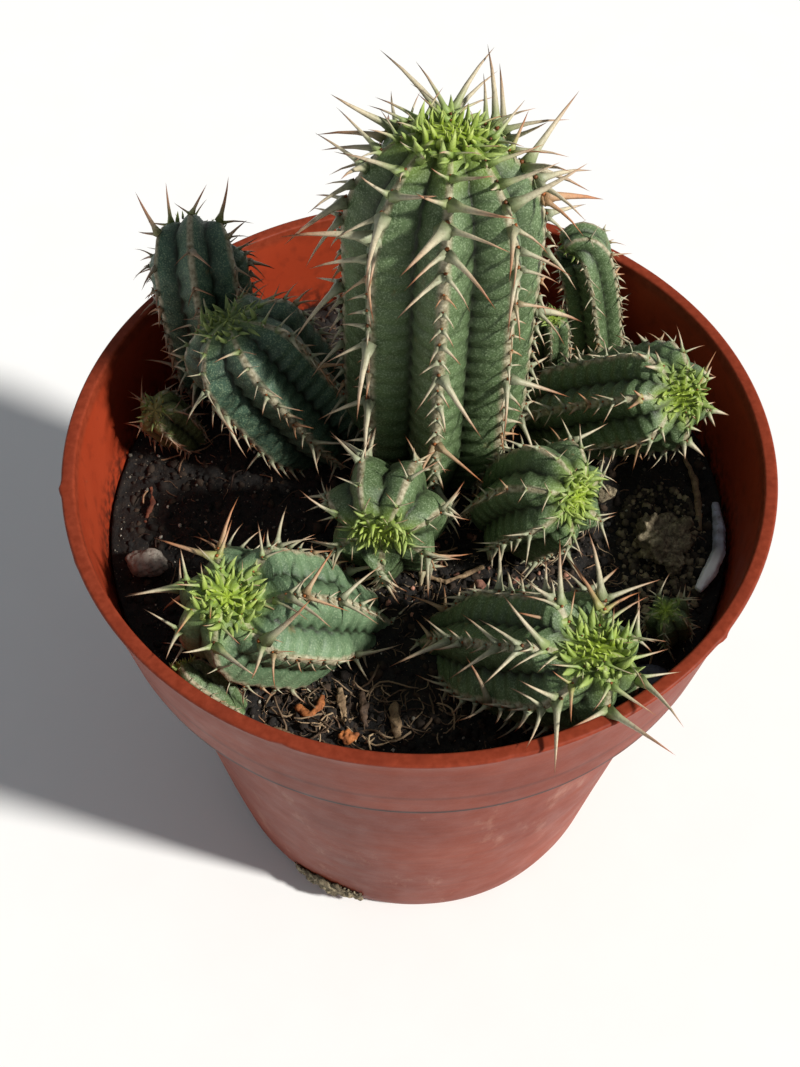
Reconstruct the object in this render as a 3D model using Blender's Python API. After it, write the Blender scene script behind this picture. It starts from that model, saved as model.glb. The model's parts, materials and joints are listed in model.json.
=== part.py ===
"""A small columnar euphorbia with its offsets, growing in a round plastic nursery pot.

Sizes below are in millimetres and become metres when a mesh is written. The origin is the
centre of the pot's base, +Z is up, and the side that is looked at most faces -Y.
"""

import math
import random

import bmesh
import bpy
from mathutils import Vector

MM = 0.001
GAP = 0.35  # clearance kept between neighbouring pieces

# Pot
POT_HEIGHT = 107.0
RIM_RADIUS = 60.0
BRIM_WIDTH = 2.3
COLLAR_HEIGHT = 24.8
COLLAR_FOOT_RADIUS = 56.2
BODY_TOP_RADIUS = 51.9
BASE_RADIUS = 41.1
BASE_CORNER = 2.5
WALL = 1.3
FLOOR = 1.6
POT_SIDES = 48
LIP_ROUND = 0.5
DRAIN_HOLES = 6
DRAIN_RADIUS = 4.0
DRAIN_RING_RADIUS = 28.0
DRAIN_SIDES = 10
STEP_HEIGHT = POT_HEIGHT - COLLAR_HEIGHT
LEDGE_HEIGHT = STEP_HEIGHT + WALL

# Soil
SOIL_EDGE_HEIGHT = 87.8
SOIL_CROWN = 1.6
SOIL_RINGS = (14.0, 28.0, 42.0)
SOCKET_GAP = 0.55
SOCKET_SIDES = 12
SOCKET_STEP = 0.35  # distance between a socket's rings, in radii of the stem

# Stems
MOST_ROOT_DEPTH = 9.0
NECK = 0.62  # radius at the soil, as a share of the full radius
ROOT_TAPER = 0.3  # share of its radius that the buried foot loses towards its end
SWELL = 1.2  # distance over which a stem reaches its full radius, in radii
DOME = 0.75  # height of the rounded tip, in radii
DOME_POWER = 2.4
RIB_DEPTH = 0.24
CREST_HALF_WIDTH = 0.66
CREST_SHOULDER = 0.985  # radius beside the crest, as a share of the crest's
EYE_HEIGHT = 1.6  # height of the small pad that carries a pair of spines
EYE_SPACING = 9.0
SPINE_LENGTH = 6.5
SPINE_SHARE = 0.62  # most length of a spine on a thin stem, in radii
SPINE_SPREAD = 0.85  # sideways lean of a spine against its outward reach
SPINE_DROP = -0.35  # its lean along the stem, downwards
CROWN_RISE = 0.9  # the same at the growing tip, upwards
CROWN_STRETCH = 1.7  # how much longer the main stem's crown spines are
SPINE_CLEARANCE = 1.5
OVER_BRIM = 4.0  # height above the brim up to which a stem stays inside its inner edge
OVER_LEDGE = 3.0  # height above the ledge up to which a deep stem stays inside the body's wall

# Each stem's foot, middle and tip, its radius over the ribs, and its number of ribs.
# A stem gives way to those above it in the list where they are pressed together.
STEMS = {
    "main_stem": ((2.5, 10.5, 87.0), (2.8, 10.8, 125.0), (3.8, 12.6, 162.0), 15.4, 8),
    "left_stem": ((-16.0, 15.0, 87.0), (-24.2, 14.0, 104.0), (-32.5, 14.3, 121.0), 11.3, 7),
    "centre_front_stem": ((-4.5, -8.5, 87.0), (-4.8, -12.5, 102.0), (-6.0, -22.7, 112.0), 9.8, 7),
    "right_centre_stem": ((15.5, -3.0, 87.0), (19.0, -7.5, 100.5), (25.6, -14.4, 112.0), 9.3, 7),
    "front_left_stem": ((-11.0, -24.5, 87.0), (-21.7, -29.4, 98.0), (-29.0, -33.4, 110.0), 11.4, 7),
    "front_right_stem": ((7.0, -28.0, 87.0), (18.0, -36.2, 99.0), (26.9, -42.6, 112.0), 10.9, 7),
    "right_stem": ((22.0, 22.0, 87.0), (34.0, 15.2, 100.5), (44.3, 7.3, 112.0), 9.7, 7),
    "back_left_stem": ((-37.5, 29.0, 87.0), (-38.6, 28.3, 107.0), (-39.7, 34.5, 120.0), 8.8, 7),
    "back_right_stem": ((34.5, 34.5, 87.0), (31.3, 35.4, 106.0), (26.6, 35.6, 118.0), 5.4, 6),
    "back_right_offset": ((25.5, 31.5, 88.0), (24.6, 31.0, 98.0), (23.8, 30.0, 107.0), 3.3, 5),
    "left_offset": ((-42.5, 15.0, 88.0), (-44.5, 13.5, 94.5), (-46.8, 10.5, 102.0), 4.5, 5),
    "front_left_offset": ((-29.5, -40.5, 88.5), (-33.3, -40.0, 93.5), (-37.0, -38.2, 97.5), 3.5, 5),
    "front_right_offset": ((43.0, -25.5, 88.0), (42.0, -26.3, 93.5), (40.5, -27.0, 98.5), 3.9, 5),
}

STEM_GREEN = (0.16, 0.24, 0.13)
PEAT_BLACK = (0.03, 0.024, 0.02)
TWIG_BROWN = (0.26, 0.19, 0.12)
STRAW = (0.45, 0.36, 0.24)
DRY_PINK = (0.42, 0.22, 0.17)
ROOT_GREY = (0.55, 0.55, 0.58)


def clear_scene():
    for obj in list(bpy.data.objects):
        bpy.data.objects.remove(obj, do_unlink=True)


def finish_material(name, color, roughness):
    """A plain Principled finish in the piece's own colour."""
    material = bpy.data.materials.new(name)
    material.use_nodes = True
    shader = material.node_tree.nodes["Principled BSDF"]
    shader.inputs["Base Color"].default_value = (*color, 1.0)
    shader.inputs["Roughness"].default_value = roughness
    shader.inputs["Metallic"].default_value = 0.0
    return material


def make_object(name, mesh_data, color, roughness):
    """Closes a bmesh into a named object, faces outwards, scaled to metres."""
    bmesh.ops.recalc_face_normals(mesh_data, faces=mesh_data.faces)
    bmesh.ops.scale(mesh_data, vec=(MM, MM, MM), verts=mesh_data.verts)
    mesh = bpy.data.meshes.new(name)
    mesh_data.to_mesh(mesh)
    mesh_data.free()
    mesh.materials.append(finish_material(name + "_finish", color, roughness))
    mesh.shade_smooth()
    mesh.set_sharp_from_angle(angle=math.radians(40))
    obj = bpy.data.objects.new(name, mesh)
    bpy.context.scene.collection.objects.link(obj)
    return obj


def cut_with(obj, cutter):
    """Takes the cutter's shape out of the object, and keeps the cutter as a hidden guide."""
    cutter.hide_render = True
    cutter.display_type = "WIRE"
    cut = obj.modifiers.new(cutter.name, "BOOLEAN")
    cut.operation = "DIFFERENCE"
    cut.solver = "EXACT"
    cut.object = cutter


def loft(mesh_data, rings, closed_ends=True):
    """Skins a list of rings of points, all of one length, and fans both ends shut."""
    made = [[mesh_data.verts.new(point) for point in ring] for ring in rings]
    count = len(made[0])
    for low, high in zip(made, made[1:]):
        for j in range(count):
            k = (j + 1) % count
            mesh_data.faces.new((low[j], low[k], high[k], high[j]))
    if closed_ends:
        for ring in (made[0], made[-1]):
            fan_shut(mesh_data, ring, sum((v.co for v in ring), Vector()) / count)
    return made


def fan_shut(mesh_data, ring, middle):
    """Closes a ring of vertices with a fan of triangles about one more vertex."""
    hub = mesh_data.verts.new(middle)
    for j in range(len(ring)):
        mesh_data.faces.new((ring[j], ring[(j + 1) % len(ring)], hub))


def circle(radius, height, sides):
    """A level ring of points about the pot's axis."""
    turn = 2 * math.pi / sides
    return [(radius * math.cos(turn * j), radius * math.sin(turn * j), height) for j in range(sides)]


def turned(name, profile, color, roughness):
    """A solid of revolution about +Z. The profile starts and ends on the axis."""
    mesh_data = bmesh.new()
    made = loft(mesh_data, [circle(r, z, POT_SIDES) for r, z in profile[1:-1]], closed_ends=False)
    for ring, (_, height) in ((made[0], profile[0]), (made[-1], profile[-1])):
        fan_shut(mesh_data, ring, (0.0, 0.0, height))
    return make_object(name, mesh_data, color, roughness)


# Pot -----------------------------------------------------------------------------------


def body_radius(height):
    """Outer radius of the pot's conical body below the collar."""
    return BASE_RADIUS + (BODY_TOP_RADIUS - BASE_RADIUS) * height / STEP_HEIGHT


def inner_radius(height):
    """Inner radius of the pot at a height: the body's wall, or the collar's above the ledge."""
    if height < LEDGE_HEIGHT:
        return body_radius(min(height, STEP_HEIGHT)) - WALL
    foot = COLLAR_FOOT_RADIUS - WALL
    top = RIM_RADIUS - BRIM_WIDTH
    rise = (height - LEDGE_HEIGHT) / (POT_HEIGHT - LEDGE_HEIGHT)
    return foot + (top - foot) * min(rise, 1.0)


def base_corner():
    """The rounded edge between the base and the body, from the base outwards."""
    steps = 3
    points = []
    for k in range(steps + 1):
        angle = math.pi / 2 * k / steps
        radius = BASE_RADIUS - BASE_CORNER * (1 - math.sin(angle))
        points.append((radius, BASE_CORNER * (1 - math.cos(angle))))
    return points


def make_pot():
    profile = [(0.0, 0.0)]
    profile += base_corner()
    profile += [
        (BODY_TOP_RADIUS, STEP_HEIGHT),
        (COLLAR_FOOT_RADIUS, STEP_HEIGHT),
        (RIM_RADIUS, POT_HEIGHT - LIP_ROUND),
        (RIM_RADIUS - LIP_ROUND, POT_HEIGHT),
        (inner_radius(POT_HEIGHT), POT_HEIGHT),
        (inner_radius(LEDGE_HEIGHT), LEDGE_HEIGHT),
        (BODY_TOP_RADIUS - WALL, LEDGE_HEIGHT),
        (BASE_RADIUS - WALL, FLOOR),
        (0.0, FLOOR),
    ]
    pot = turned("pot", profile, (0.42, 0.13, 0.06), 0.5)
    cut_with(pot, drain_cutter())
    return pot


def drain_cutter():
    """A ring of upright rods, which cut the drain holes through the pot's floor."""
    mesh_data = bmesh.new()
    for k in range(DRAIN_HOLES):
        turn = 2 * math.pi * (k + 0.5) / DRAIN_HOLES
        middle = Vector((math.cos(turn), math.sin(turn), 0.0)) * DRAIN_RING_RADIUS
        rings = []
        for height in (-2.0, FLOOR + 2.0):
            rings.append([middle + Vector(p) for p in circle(DRAIN_RADIUS, height, DRAIN_SIDES)])
        loft(mesh_data, rings)
    return make_object("drain_cutter", mesh_data, STRAW, 0.5)


# Stems ---------------------------------------------------------------------------------


def smooth(x):
    x = min(max(x, 0.0), 1.0)
    return x * x * (3 - 2 * x)


class Stem:
    """The course, thickness and frames of one stem."""

    SAMPLES = 60

    def __init__(self, name, order):
        foot, middle, tip, radius, ribs = STEMS[name]
        self.name = name
        self.order = order
        self.radius = radius
        self.ribs = ribs
        self.root_depth = min(MOST_ROOT_DEPTH, 0.9 * radius)
        self.is_deep = foot[2] - self.root_depth < LEDGE_HEIGHT + GAP
        start, middle, end = Vector(foot), Vector(middle), Vector(tip)
        lean = (middle - start).normalized()
        handle = start + (lean + Vector((0.0, 0.0, 1.0))) * 0.25 * radius
        bend = (8 * middle - start - 3 * handle - end) / 3
        self.points = []
        for k in range(self.SAMPLES + 1):
            t = k / self.SAMPLES
            s = 1 - t
            point = s**3 * start + 3 * s * s * t * handle + 3 * s * t * t * bend + t**3 * end
            self.points.append(point)
        self.travel = [0.0]
        for a, b in zip(self.points, self.points[1:]):
            self.travel.append(self.travel[-1] + (b - a).length)
        self.length = self.travel[-1]
        self.sides = self.carry_frames(Vector((math.sin(0.4 * order), -math.cos(0.4 * order), 0.0)))
        self.envelope = [(self.at(s)[0], self.crest(s)) for s in self.spaced(-self.root_depth, 40)]

    def spaced(self, start, count):
        return [start + (self.length - start) * k / count for k in range(count + 1)]

    def carry_frames(self, side):
        """One direction across the stem at each sample, turned as little as possible."""
        sides = []
        for k in range(len(self.points)):
            a = self.points[max(k - 1, 0)]
            b = self.points[min(k + 1, self.SAMPLES)]
            along = (b - a).normalized()
            side = (side - along * side.dot(along)).normalized()
            sides.append((side, along))
        return sides

    def at(self, s):
        """Point, side direction and along direction at distance s above the foot."""
        if s <= 0:
            return self.points[0] + self.sides[0][1] * s, *self.sides[0]
        for k in range(self.SAMPLES):
            if self.travel[k + 1] >= s or k == self.SAMPLES - 1:
                share = (s - self.travel[k]) / (self.travel[k + 1] - self.travel[k])
                share = min(share, 1.0)
                point = self.points[k].lerp(self.points[k + 1], share)
                side = self.sides[k][0].lerp(self.sides[k + 1][0], share).normalized()
                along = self.sides[k][1].lerp(self.sides[k + 1][1], share).normalized()
                return point, side, along

    def crest(self, s):
        """Radius over the ribs at distance s, with the neck below and the rounded tip above."""
        radius = self.radius * (NECK + (1 - NECK) * smooth(s / (SWELL * self.radius)))
        if s < 0:
            radius *= 0.9 + ROOT_TAPER * s / self.root_depth
        dome = DOME * self.radius
        left = self.length - s
        if left < dome:
            radius *= max(1 - (1 - left / dome) ** DOME_POWER, 0.0) ** (1 / DOME_POWER)
        return radius

    def rib_share(self, s):
        """How far the valleys between the ribs are sunk at distance s."""
        return RIB_DEPTH * smooth((s + 1.0) / (0.6 * self.radius))

    def ring(self, s):
        """Points round the stem at distance s: a valley, then the crest in three points, per rib."""
        point, side, along = self.at(s)
        other = along.cross(side)
        crest = self.crest(s)
        valley = crest * (1 - self.rib_share(s))
        shoulder = crest * CREST_SHOULDER
        half_rib = math.pi / self.ribs
        edge = min(CREST_HALF_WIDTH / self.radius, 0.27 * half_rib)
        spots = ((-half_rib, valley), (-edge, shoulder), (0.0, crest), (edge, shoulder))
        ring = []
        for k in range(self.ribs):
            middle = 2 * half_rib * k
            for turn, radius in spots:
                out = side * math.cos(middle + turn) + other * math.sin(middle + turn)
                ring.append(point + out * radius)
        return ring


def wall_limit(stem, height):
    """The furthest that a stem may reach from the pot's axis at a height."""
    if stem.is_deep and height < LEDGE_HEIGHT + OVER_LEDGE:
        return inner_radius(STEP_HEIGHT)
    return inner_radius(max(height, LEDGE_HEIGHT))


def settle(stem, point, axis_point, placed):
    """Draws a skin point towards its own stem until it clears the wall and the earlier stems."""
    for _ in range(24):
        at_wall = math.hypot(point.x, point.y) > wall_limit(stem, point.z) - 2 * GAP
        blocked = at_wall and point.z < POT_HEIGHT + OVER_BRIM
        for other in placed:
            if other.order < stem.order:
                blocked = blocked or too_near(point, other, GAP)
        if not blocked:
            return point
        point = axis_point.lerp(point, 0.95)
    return point


def too_near(point, other, clearance):
    for middle, radius in other.envelope:
        if (point - middle).length < radius + clearance:
            return True
    return False


def spine_fits(stem, root, tip, placed, taken):
    """True where a spine clears the other stems, their spines, the pot and the soil."""
    for step in range(2, 11):
        point = root.lerp(tip, step / 10)
        reach = math.hypot(point.x, point.y)
        if point.z < soil_top(point.x, point.y) + 2 * GAP:
            return False
        if point.z < POT_HEIGHT + 4 * GAP and reach > wall_limit(stem, point.z) - 3 * GAP:
            return False
        for other in placed:
            if other is not stem and too_near(point, other, 2 * GAP):
                return False
        for owner, spot in taken:
            if owner != stem.name and (point - spot).length < SPINE_CLEARANCE:
                return False
    return True


def eye_levels(stem):
    """Distances along the stem where the crests carry a pair of spines."""
    first = 0.55 * stem.radius
    last = stem.length - 0.3 * DOME * stem.radius
    count = max(2, round((last - first) / EYE_SPACING) + 1)
    return [first + (last - first) * k / (count - 1) for k in range(count)]


def spine_tip(stem, root, out, across, along, lean, is_top, dice):
    """The point of one spine: outwards, to one side, and down, or up near the growing tip."""
    rise = CROWN_RISE if is_top else SPINE_DROP
    way = (out + across * lean * SPINE_SPREAD + along * rise).normalized()
    length = min(SPINE_SHARE * stem.radius, SPINE_LENGTH) * dice.uniform(0.75, 1.15)
    if stem.name == "main_stem" and is_top:
        length *= CROWN_STRETCH
    return root + way * length


def ring_heights(stem):
    """Distances of a stem's rings, and the set of rows that hold its spine pads."""
    heights = [-stem.root_depth, -0.3 * stem.root_depth, 0.0, 0.27 * stem.radius]
    half_pad = 0.5 * min(EYE_HEIGHT, 0.3 * stem.radius)
    pad_rows = set()
    for level in eye_levels(stem):
        pad_rows.add(len(heights))
        heights += [level - half_pad, level + half_pad]
    return heights, pad_rows


def raise_spine(mesh_data, stem, corners, frame, spot, is_top, dice, placed, taken):
    """Draws a small pad out into a spine, or leaves it flat where there is no room."""
    middle, along = frame
    root = sum((v.co for v in corners), Vector()) / 4
    out = root - middle
    out = (out - along * out.dot(along)).normalized()
    lean = -1 if spot == 1 else 1
    tip = spine_tip(stem, root, out, along.cross(out), along, lean, is_top, dice)
    if not spine_fits(stem, root, tip, placed, taken):
        tip = root.lerp(tip, 0.5)
    if not spine_fits(stem, root, tip, placed, taken):
        mesh_data.faces.new(corners)
        return
    taken += [(stem.name, root.lerp(tip, share)) for share in (0.25, 0.5, 0.75, 1.0)]
    point = mesh_data.verts.new(tip)
    for a, b in zip(corners, corners[1:] + corners[:1]):
        mesh_data.faces.new((a, b, point))


def make_stem(stem, placed, taken):
    """One stem as a single closed skin, with its spines drawn out of the pads on the crests."""
    dice = random.Random(stem.order)
    mesh_data = bmesh.new()
    heights, pad_rows = ring_heights(stem)
    rings = []
    for s in heights:
        middle = stem.at(s)[0]
        rings.append([settle(stem, point, middle, placed) for point in stem.ring(s)])
    made = [[mesh_data.verts.new(point) for point in ring] for ring in rings]
    count = len(made[0])
    for i, (low, high) in enumerate(zip(made, made[1:])):
        middle, _, along = stem.at(0.5 * (heights[i] + heights[i + 1]))
        for j in range(count):
            k = (j + 1) % count
            corners = (low[j], low[k], high[k], high[j])
            spot = j % 4
            if i in pad_rows and spot in (1, 2):
                is_top = i == max(pad_rows)
                raise_spine(mesh_data, stem, corners, (middle, along), spot, is_top, dice, placed, taken)
            else:
                mesh_data.faces.new(corners)
    for ring, s in ((made[0], -stem.root_depth), (made[-1], stem.length)):
        fan_shut(mesh_data, ring, stem.at(s)[0])
    return make_object(stem.name, mesh_data, STEM_GREEN, 0.6)


# Soil ----------------------------------------------------------------------------------


def soil_top(x, y):
    """Height of the slightly mounded soil surface."""
    share = min(math.hypot(x, y) / inner_radius(SOIL_EDGE_HEIGHT), 1.0)
    return SOIL_EDGE_HEIGHT + SOIL_CROWN * (1 - share * share)


def make_soil(stems):
    """The root ball's soil, filling the pot up to its mounded top, with a socket for each stem."""
    edge = inner_radius(SOIL_EDGE_HEIGHT) - GAP
    profile = [
        (0.0, FLOOR + GAP),
        (inner_radius(FLOOR) - GAP - 0.1, FLOOR + GAP),
        (BODY_TOP_RADIUS - WALL - GAP, LEDGE_HEIGHT + GAP),
        (inner_radius(LEDGE_HEIGHT) - GAP, LEDGE_HEIGHT + GAP),
        (edge, SOIL_EDGE_HEIGHT),
    ]
    profile += [(r, soil_top(r, 0.0)) for r in reversed(SOIL_RINGS)]
    profile.append((0.0, soil_top(0.0, 0.0)))
    soil = turned("soil", profile, PEAT_BLACK, 0.95)
    for stem in stems:
        cut_with(soil, socket_cutter(stem))
    return soil


def socket_cutter(stem):
    """A plain round body a little thicker than the foot of a stem, which shapes its socket."""
    mesh_data = bmesh.new()
    rings = []
    depth = stem.root_depth
    steps = [-depth - GAP, -0.3 * depth]
    steps += [SOCKET_STEP * k * stem.radius for k in range(7)]
    for s in steps:
        middle, side, along = stem.at(s)
        other = along.cross(side)
        radius = (stem.crest(max(s, -depth)) + SOCKET_GAP) / math.cos(math.pi / SOCKET_SIDES)
        ring = []
        for j in range(SOCKET_SIDES):
            turn = 2 * math.pi * j / SOCKET_SIDES
            ring.append(middle + (side * math.cos(turn) + other * math.sin(turn)) * radius)
        rings.append(ring)
    loft(mesh_data, rings)
    return make_object(stem.name + "_socket", mesh_data, PEAT_BLACK, 0.95)


# Stones and litter on the soil -----------------------------------------------------------


def rest_on_soil(mesh_data):
    """Lowers or lifts a loose piece until it lies just clear of the soil."""
    lift = min(v.co.z - soil_top(v.co.x, v.co.y) for v in mesh_data.verts) - GAP
    for v in mesh_data.verts:
        v.co.z -= lift


def make_stone(name, place, size, detail, color, roughness, seed):
    """A rounded, slightly uneven lump of the given length, width and height."""
    dice = random.Random(seed)
    mesh_data = bmesh.new()
    bmesh.ops.create_icosphere(mesh_data, subdivisions=detail, radius=0.5)
    for v in mesh_data.verts:
        v.co *= dice.uniform(0.88, 1.08)
        v.co.x *= size[0]
        v.co.y *= size[1]
        v.co.z *= size[2]
        v.co.x += place[0]
        v.co.y += place[1]
    rest_on_soil(mesh_data)
    return make_object(name, mesh_data, color, roughness)


def make_strand(name, route, thickness, flatness, color):
    """A twig, root or dry strip: an oval tube that lies along its route."""
    points = [Vector((x, y, soil_top(x, y) + lift)) for x, y, lift in route]
    mesh_data = bmesh.new()
    rings = []
    for k, point in enumerate(points):
        along = (points[min(k + 1, len(points) - 1)] - points[max(k - 1, 0)]).normalized()
        across = along.cross(Vector((0.0, 0.0, 1.0))).normalized()
        up = across.cross(along)
        end = 0.6 if k in (0, len(points) - 1) else 1.0
        ring = []
        for j in range(STRAND_SIDES):
            turn = 2 * math.pi * j / STRAND_SIDES
            reach = across * math.cos(turn) + up * math.sin(turn) * flatness
            ring.append(point + reach * 0.5 * thickness * end)
        rings.append(ring)
    loft(mesh_data, rings)
    rest_on_soil(mesh_data)
    return make_object(name, mesh_data, color, STRAND_ROUGHNESS)


STRAND_SIDES = 6
STRAND_ROUGHNESS = 0.85

# Each stone's or crumb's place, size, fineness, colour and roughness.
STONES = (
    ("perlite_grain", (-46.7, -14.5), (7.5, 5.5, 4.5), 2, (0.75, 0.73, 0.68), 0.8),
    ("grey_pebble", (38.5, -35.0), (7.0, 5.5, 3.6), 2, (0.28, 0.3, 0.35), 0.6),
    ("peat_lump", (43.0, -8.0), (9.5, 13.0, 5.0), 2, (0.12, 0.09, 0.06), 0.95),
    ("peat_crumb", (33.5, 3.0), (4.0, 4.5, 2.6), 1, (0.14, 0.1, 0.07), 0.95),
    ("dry_bud", (11.0, -17.5), (2.6, 2.2, 1.8), 1, DRY_PINK, 0.8),
    ("dry_flower", (-10.5, -46.2), (3.6, 2.6, 1.8), 1, DRY_PINK, 0.8),
)

# Each strand's route as (x, y, height above the soil), its thickness, flatness and colour.
STRANDS = (
    (
        "long_twig",
        ((-27.0, -43.5, 1.0), (-24.0, -45.0, 1.2), (-20.5, -46.2, 1.4), (-17.0, -47.4, 1.0)),
        (1.5, 0.8, STRAW),
    ),
    (
        "bark_strip_1",
        ((-12.3, -37.4, 1.0), (-11.8, -40.5, 1.6), (-11.2, -43.6, 1.0)),
        (1.7, 0.5, TWIG_BROWN),
    ),
    (
        "bark_strip_2",
        ((-8.7, -38.0, 1.0), (-8.2, -41.0, 1.7), (-7.8, -44.3, 1.0)),
        (1.6, 0.5, TWIG_BROWN),
    ),
    (
        "bark_strip_3",
        ((-3.4, -40.0, 1.0), (-3.0, -43.0, 1.5), (-2.4, -46.4, 1.0)),
        (2.0, 0.5, STRAW),
    ),
    (
        "curled_leaf",
        ((-19.0, -40.8, 1.0), (-17.0, -42.4, 1.4), (-15.2, -41.4, 1.8), (-15.0, -39.0, 1.4)),
        (1.4, 0.5, STRAW),
    ),
    (
        "fine_root",
        ((2.0, -15.6, 0.8), (5.0, -16.8, 1.0), (8.0, -15.4, 1.1), (11.4, -13.4, 0.8)),
        (0.9, 1.0, DRY_PINK),
    ),
    (
        "lump_root",
        ((48.8, 13.0, 1.0), (50.0, 7.5, 1.4), (50.4, 1.5, 1.2), (50.0, -4.0, 0.9)),
        (1.4, 0.9, TWIG_BROWN),
    ),
    (
        "red_fibre",
        ((-48.5, 3.5, 0.8), (-47.6, -0.5, 1.2), (-48.6, -4.5, 0.8)),
        (0.9, 0.8, DRY_PINK),
    ),
    (
        "pale_root",
        ((53.4, 2.0, 1.6), (53.4, -4.0, 2.2), (52.6, -9.5, 2.8), (50.6, -13.8, 2.8), (48.2, -17.4, 2.4)),
        (2.6, 0.95, ROOT_GREY),
    ),
)

CRUST_SPAN = (234, 256)  # degrees round the pot
CRUST_HEIGHTS = (BASE_CORNER + 0.3, 5.0, 8.5)
CRUST_EDGE = 0.4
CRUST_BULGE = 1.3


def make_crust():
    """A thin cake of dried soil stuck to the pot's wall just above its base."""
    start, stop = (math.radians(degrees) for degrees in CRUST_SPAN)
    steps = 6
    mesh_data = bmesh.new()
    rings = []
    for k in range(steps + 1):
        turn = start + (stop - start) * k / steps
        thick = CRUST_EDGE + CRUST_BULGE * math.sin(math.pi * k / steps)
        way = Vector((math.cos(turn), math.sin(turn), 0.0))
        inner = [way * (body_radius(z) + GAP) + Vector((0, 0, z)) for z in CRUST_HEIGHTS]
        waist = CRUST_HEIGHTS[1]
        middle = way * (body_radius(waist) + GAP + thick) + Vector((0, 0, waist))
        rings.append([*inner, middle])
    loft(mesh_data, rings)
    return make_object("soil_crust", mesh_data, PEAT_BLACK, 0.95)


def main():
    clear_scene()
    make_pot()
    stems = [Stem(name, order) for order, name in enumerate(STEMS)]
    taken = []
    for stem in stems:
        make_stem(stem, stems, taken)
    make_soil(stems)
    for seed, (name, place, size, detail, color, roughness) in enumerate(STONES):
        make_stone(name, place, size, detail, color, roughness, seed)
    for name, route, (thickness, flatness, color) in STRANDS:
        make_strand(name, route, thickness, flatness, color)
    make_crust()


main()
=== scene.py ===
# %% [markdown]
# # A potted euphorbia
# The object is a young, very spiny euphorbia in a terracotta-coloured nursery pot: one tall ribbed
# stem, a ring of offsets round its foot, black peat with bits of litter, and a thin moulded pot. The
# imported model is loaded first, as a fixed frame. Every finer piece below is built round its nodes, so
# that nothing needs fitting afterwards.

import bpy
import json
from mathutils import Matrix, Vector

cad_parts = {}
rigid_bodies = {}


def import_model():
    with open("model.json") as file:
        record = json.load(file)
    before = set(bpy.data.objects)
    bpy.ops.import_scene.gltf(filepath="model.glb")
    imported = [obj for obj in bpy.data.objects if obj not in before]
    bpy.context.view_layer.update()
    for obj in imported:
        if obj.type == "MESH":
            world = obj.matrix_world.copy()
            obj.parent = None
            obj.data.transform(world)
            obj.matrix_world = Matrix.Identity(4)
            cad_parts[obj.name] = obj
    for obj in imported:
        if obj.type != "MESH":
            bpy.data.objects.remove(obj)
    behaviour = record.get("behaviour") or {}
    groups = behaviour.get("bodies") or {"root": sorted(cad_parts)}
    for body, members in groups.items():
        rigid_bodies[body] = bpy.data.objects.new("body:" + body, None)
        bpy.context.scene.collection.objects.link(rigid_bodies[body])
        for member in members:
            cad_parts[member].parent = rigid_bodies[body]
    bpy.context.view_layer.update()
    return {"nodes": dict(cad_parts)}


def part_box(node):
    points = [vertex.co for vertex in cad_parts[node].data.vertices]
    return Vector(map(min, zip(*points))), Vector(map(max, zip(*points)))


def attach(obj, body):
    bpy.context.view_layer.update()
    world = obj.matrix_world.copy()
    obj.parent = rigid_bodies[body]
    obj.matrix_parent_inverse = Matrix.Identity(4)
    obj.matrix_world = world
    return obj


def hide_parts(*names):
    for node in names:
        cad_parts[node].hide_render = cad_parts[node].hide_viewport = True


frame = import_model()

# %% [markdown]
# ## Units and a small kit of helpers
# Sizes are given in millimetres, because that is how a grower or a potter would measure them, and
# turned into metres by one factor. Random choices come from one seeded generator per step, so that
# every run gives the same plant.

# %% Units
import json
import math

import bmesh
import bpy
import numpy as np
from mathutils import Matrix, Vector, noise

MM = 0.001
TURN = 2 * math.pi
GOLDEN_ANGLE = math.pi * (3 - math.sqrt(5))
scene = bpy.context.scene


def unit(vector):
    """The same direction with length one."""
    vector = np.asarray(vector, float)
    return vector / np.maximum(np.linalg.norm(vector, axis=-1, keepdims=True), 1e-12)


def in_scene(name, data):
    """A new object in the scene that holds the data."""
    made = bpy.data.objects.new(name, data)
    scene.collection.objects.link(made)
    return made


def mesh_piece(name, points, faces, materials=(), **attributes):
    """A mesh object from points in metres, with number or vector attributes on its points."""
    mesh = bpy.data.meshes.new(name)
    mesh.from_pydata([tuple(p) for p in points], [], faces)
    for label, values in attributes.items():
        add_attribute(mesh, label, values)
    for material in materials:
        mesh.materials.append(material)
    return in_scene(name, mesh)


def add_attribute(mesh, label, values):
    """Stores one number or one vector for every point of the mesh."""
    values = np.asarray(values, np.float32)
    kind, field = ("FLOAT_VECTOR", "vector") if values.ndim == 2 else ("FLOAT", "value")
    attribute = mesh.attributes.new(label, kind, "POINT")
    attribute.data.foreach_set(field, values.ravel())


def outward(mesh):
    """Turns every face of a closed mesh to point out, and shades it smooth."""
    work = bmesh.new()
    work.from_mesh(mesh)
    bmesh.ops.recalc_face_normals(work, faces=work.faces)
    if work.calc_volume(signed=True) < 0:
        bmesh.ops.reverse_faces(work, faces=work.faces)
    work.to_mesh(mesh)
    work.free()
    mesh.shade_smooth()


def weld(mesh, distance, source=None):
    """Merges the points of a mesh, or of its source's shape, that lie within a distance of each other."""
    work = bmesh.new()
    work.from_mesh(source or mesh)
    bmesh.ops.remove_doubles(work, verts=work.verts, dist=distance)
    work.to_mesh(mesh)
    work.free()


def keep_variant(collection, name, points, faces, **attributes):
    """Keeps a mesh as one of a collection's variants, out of the scene."""
    piece = mesh_piece(name, points, faces, **attributes)
    scene.collection.objects.unlink(piece)
    collection.objects.link(piece)
    outward(piece.data)


def drop_variants(*collections):
    """Removes collections of variants that are no longer needed."""
    for collection in collections:
        for piece in list(collection.objects):
            bpy.data.objects.remove(piece)
        bpy.data.collections.remove(collection)


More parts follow.
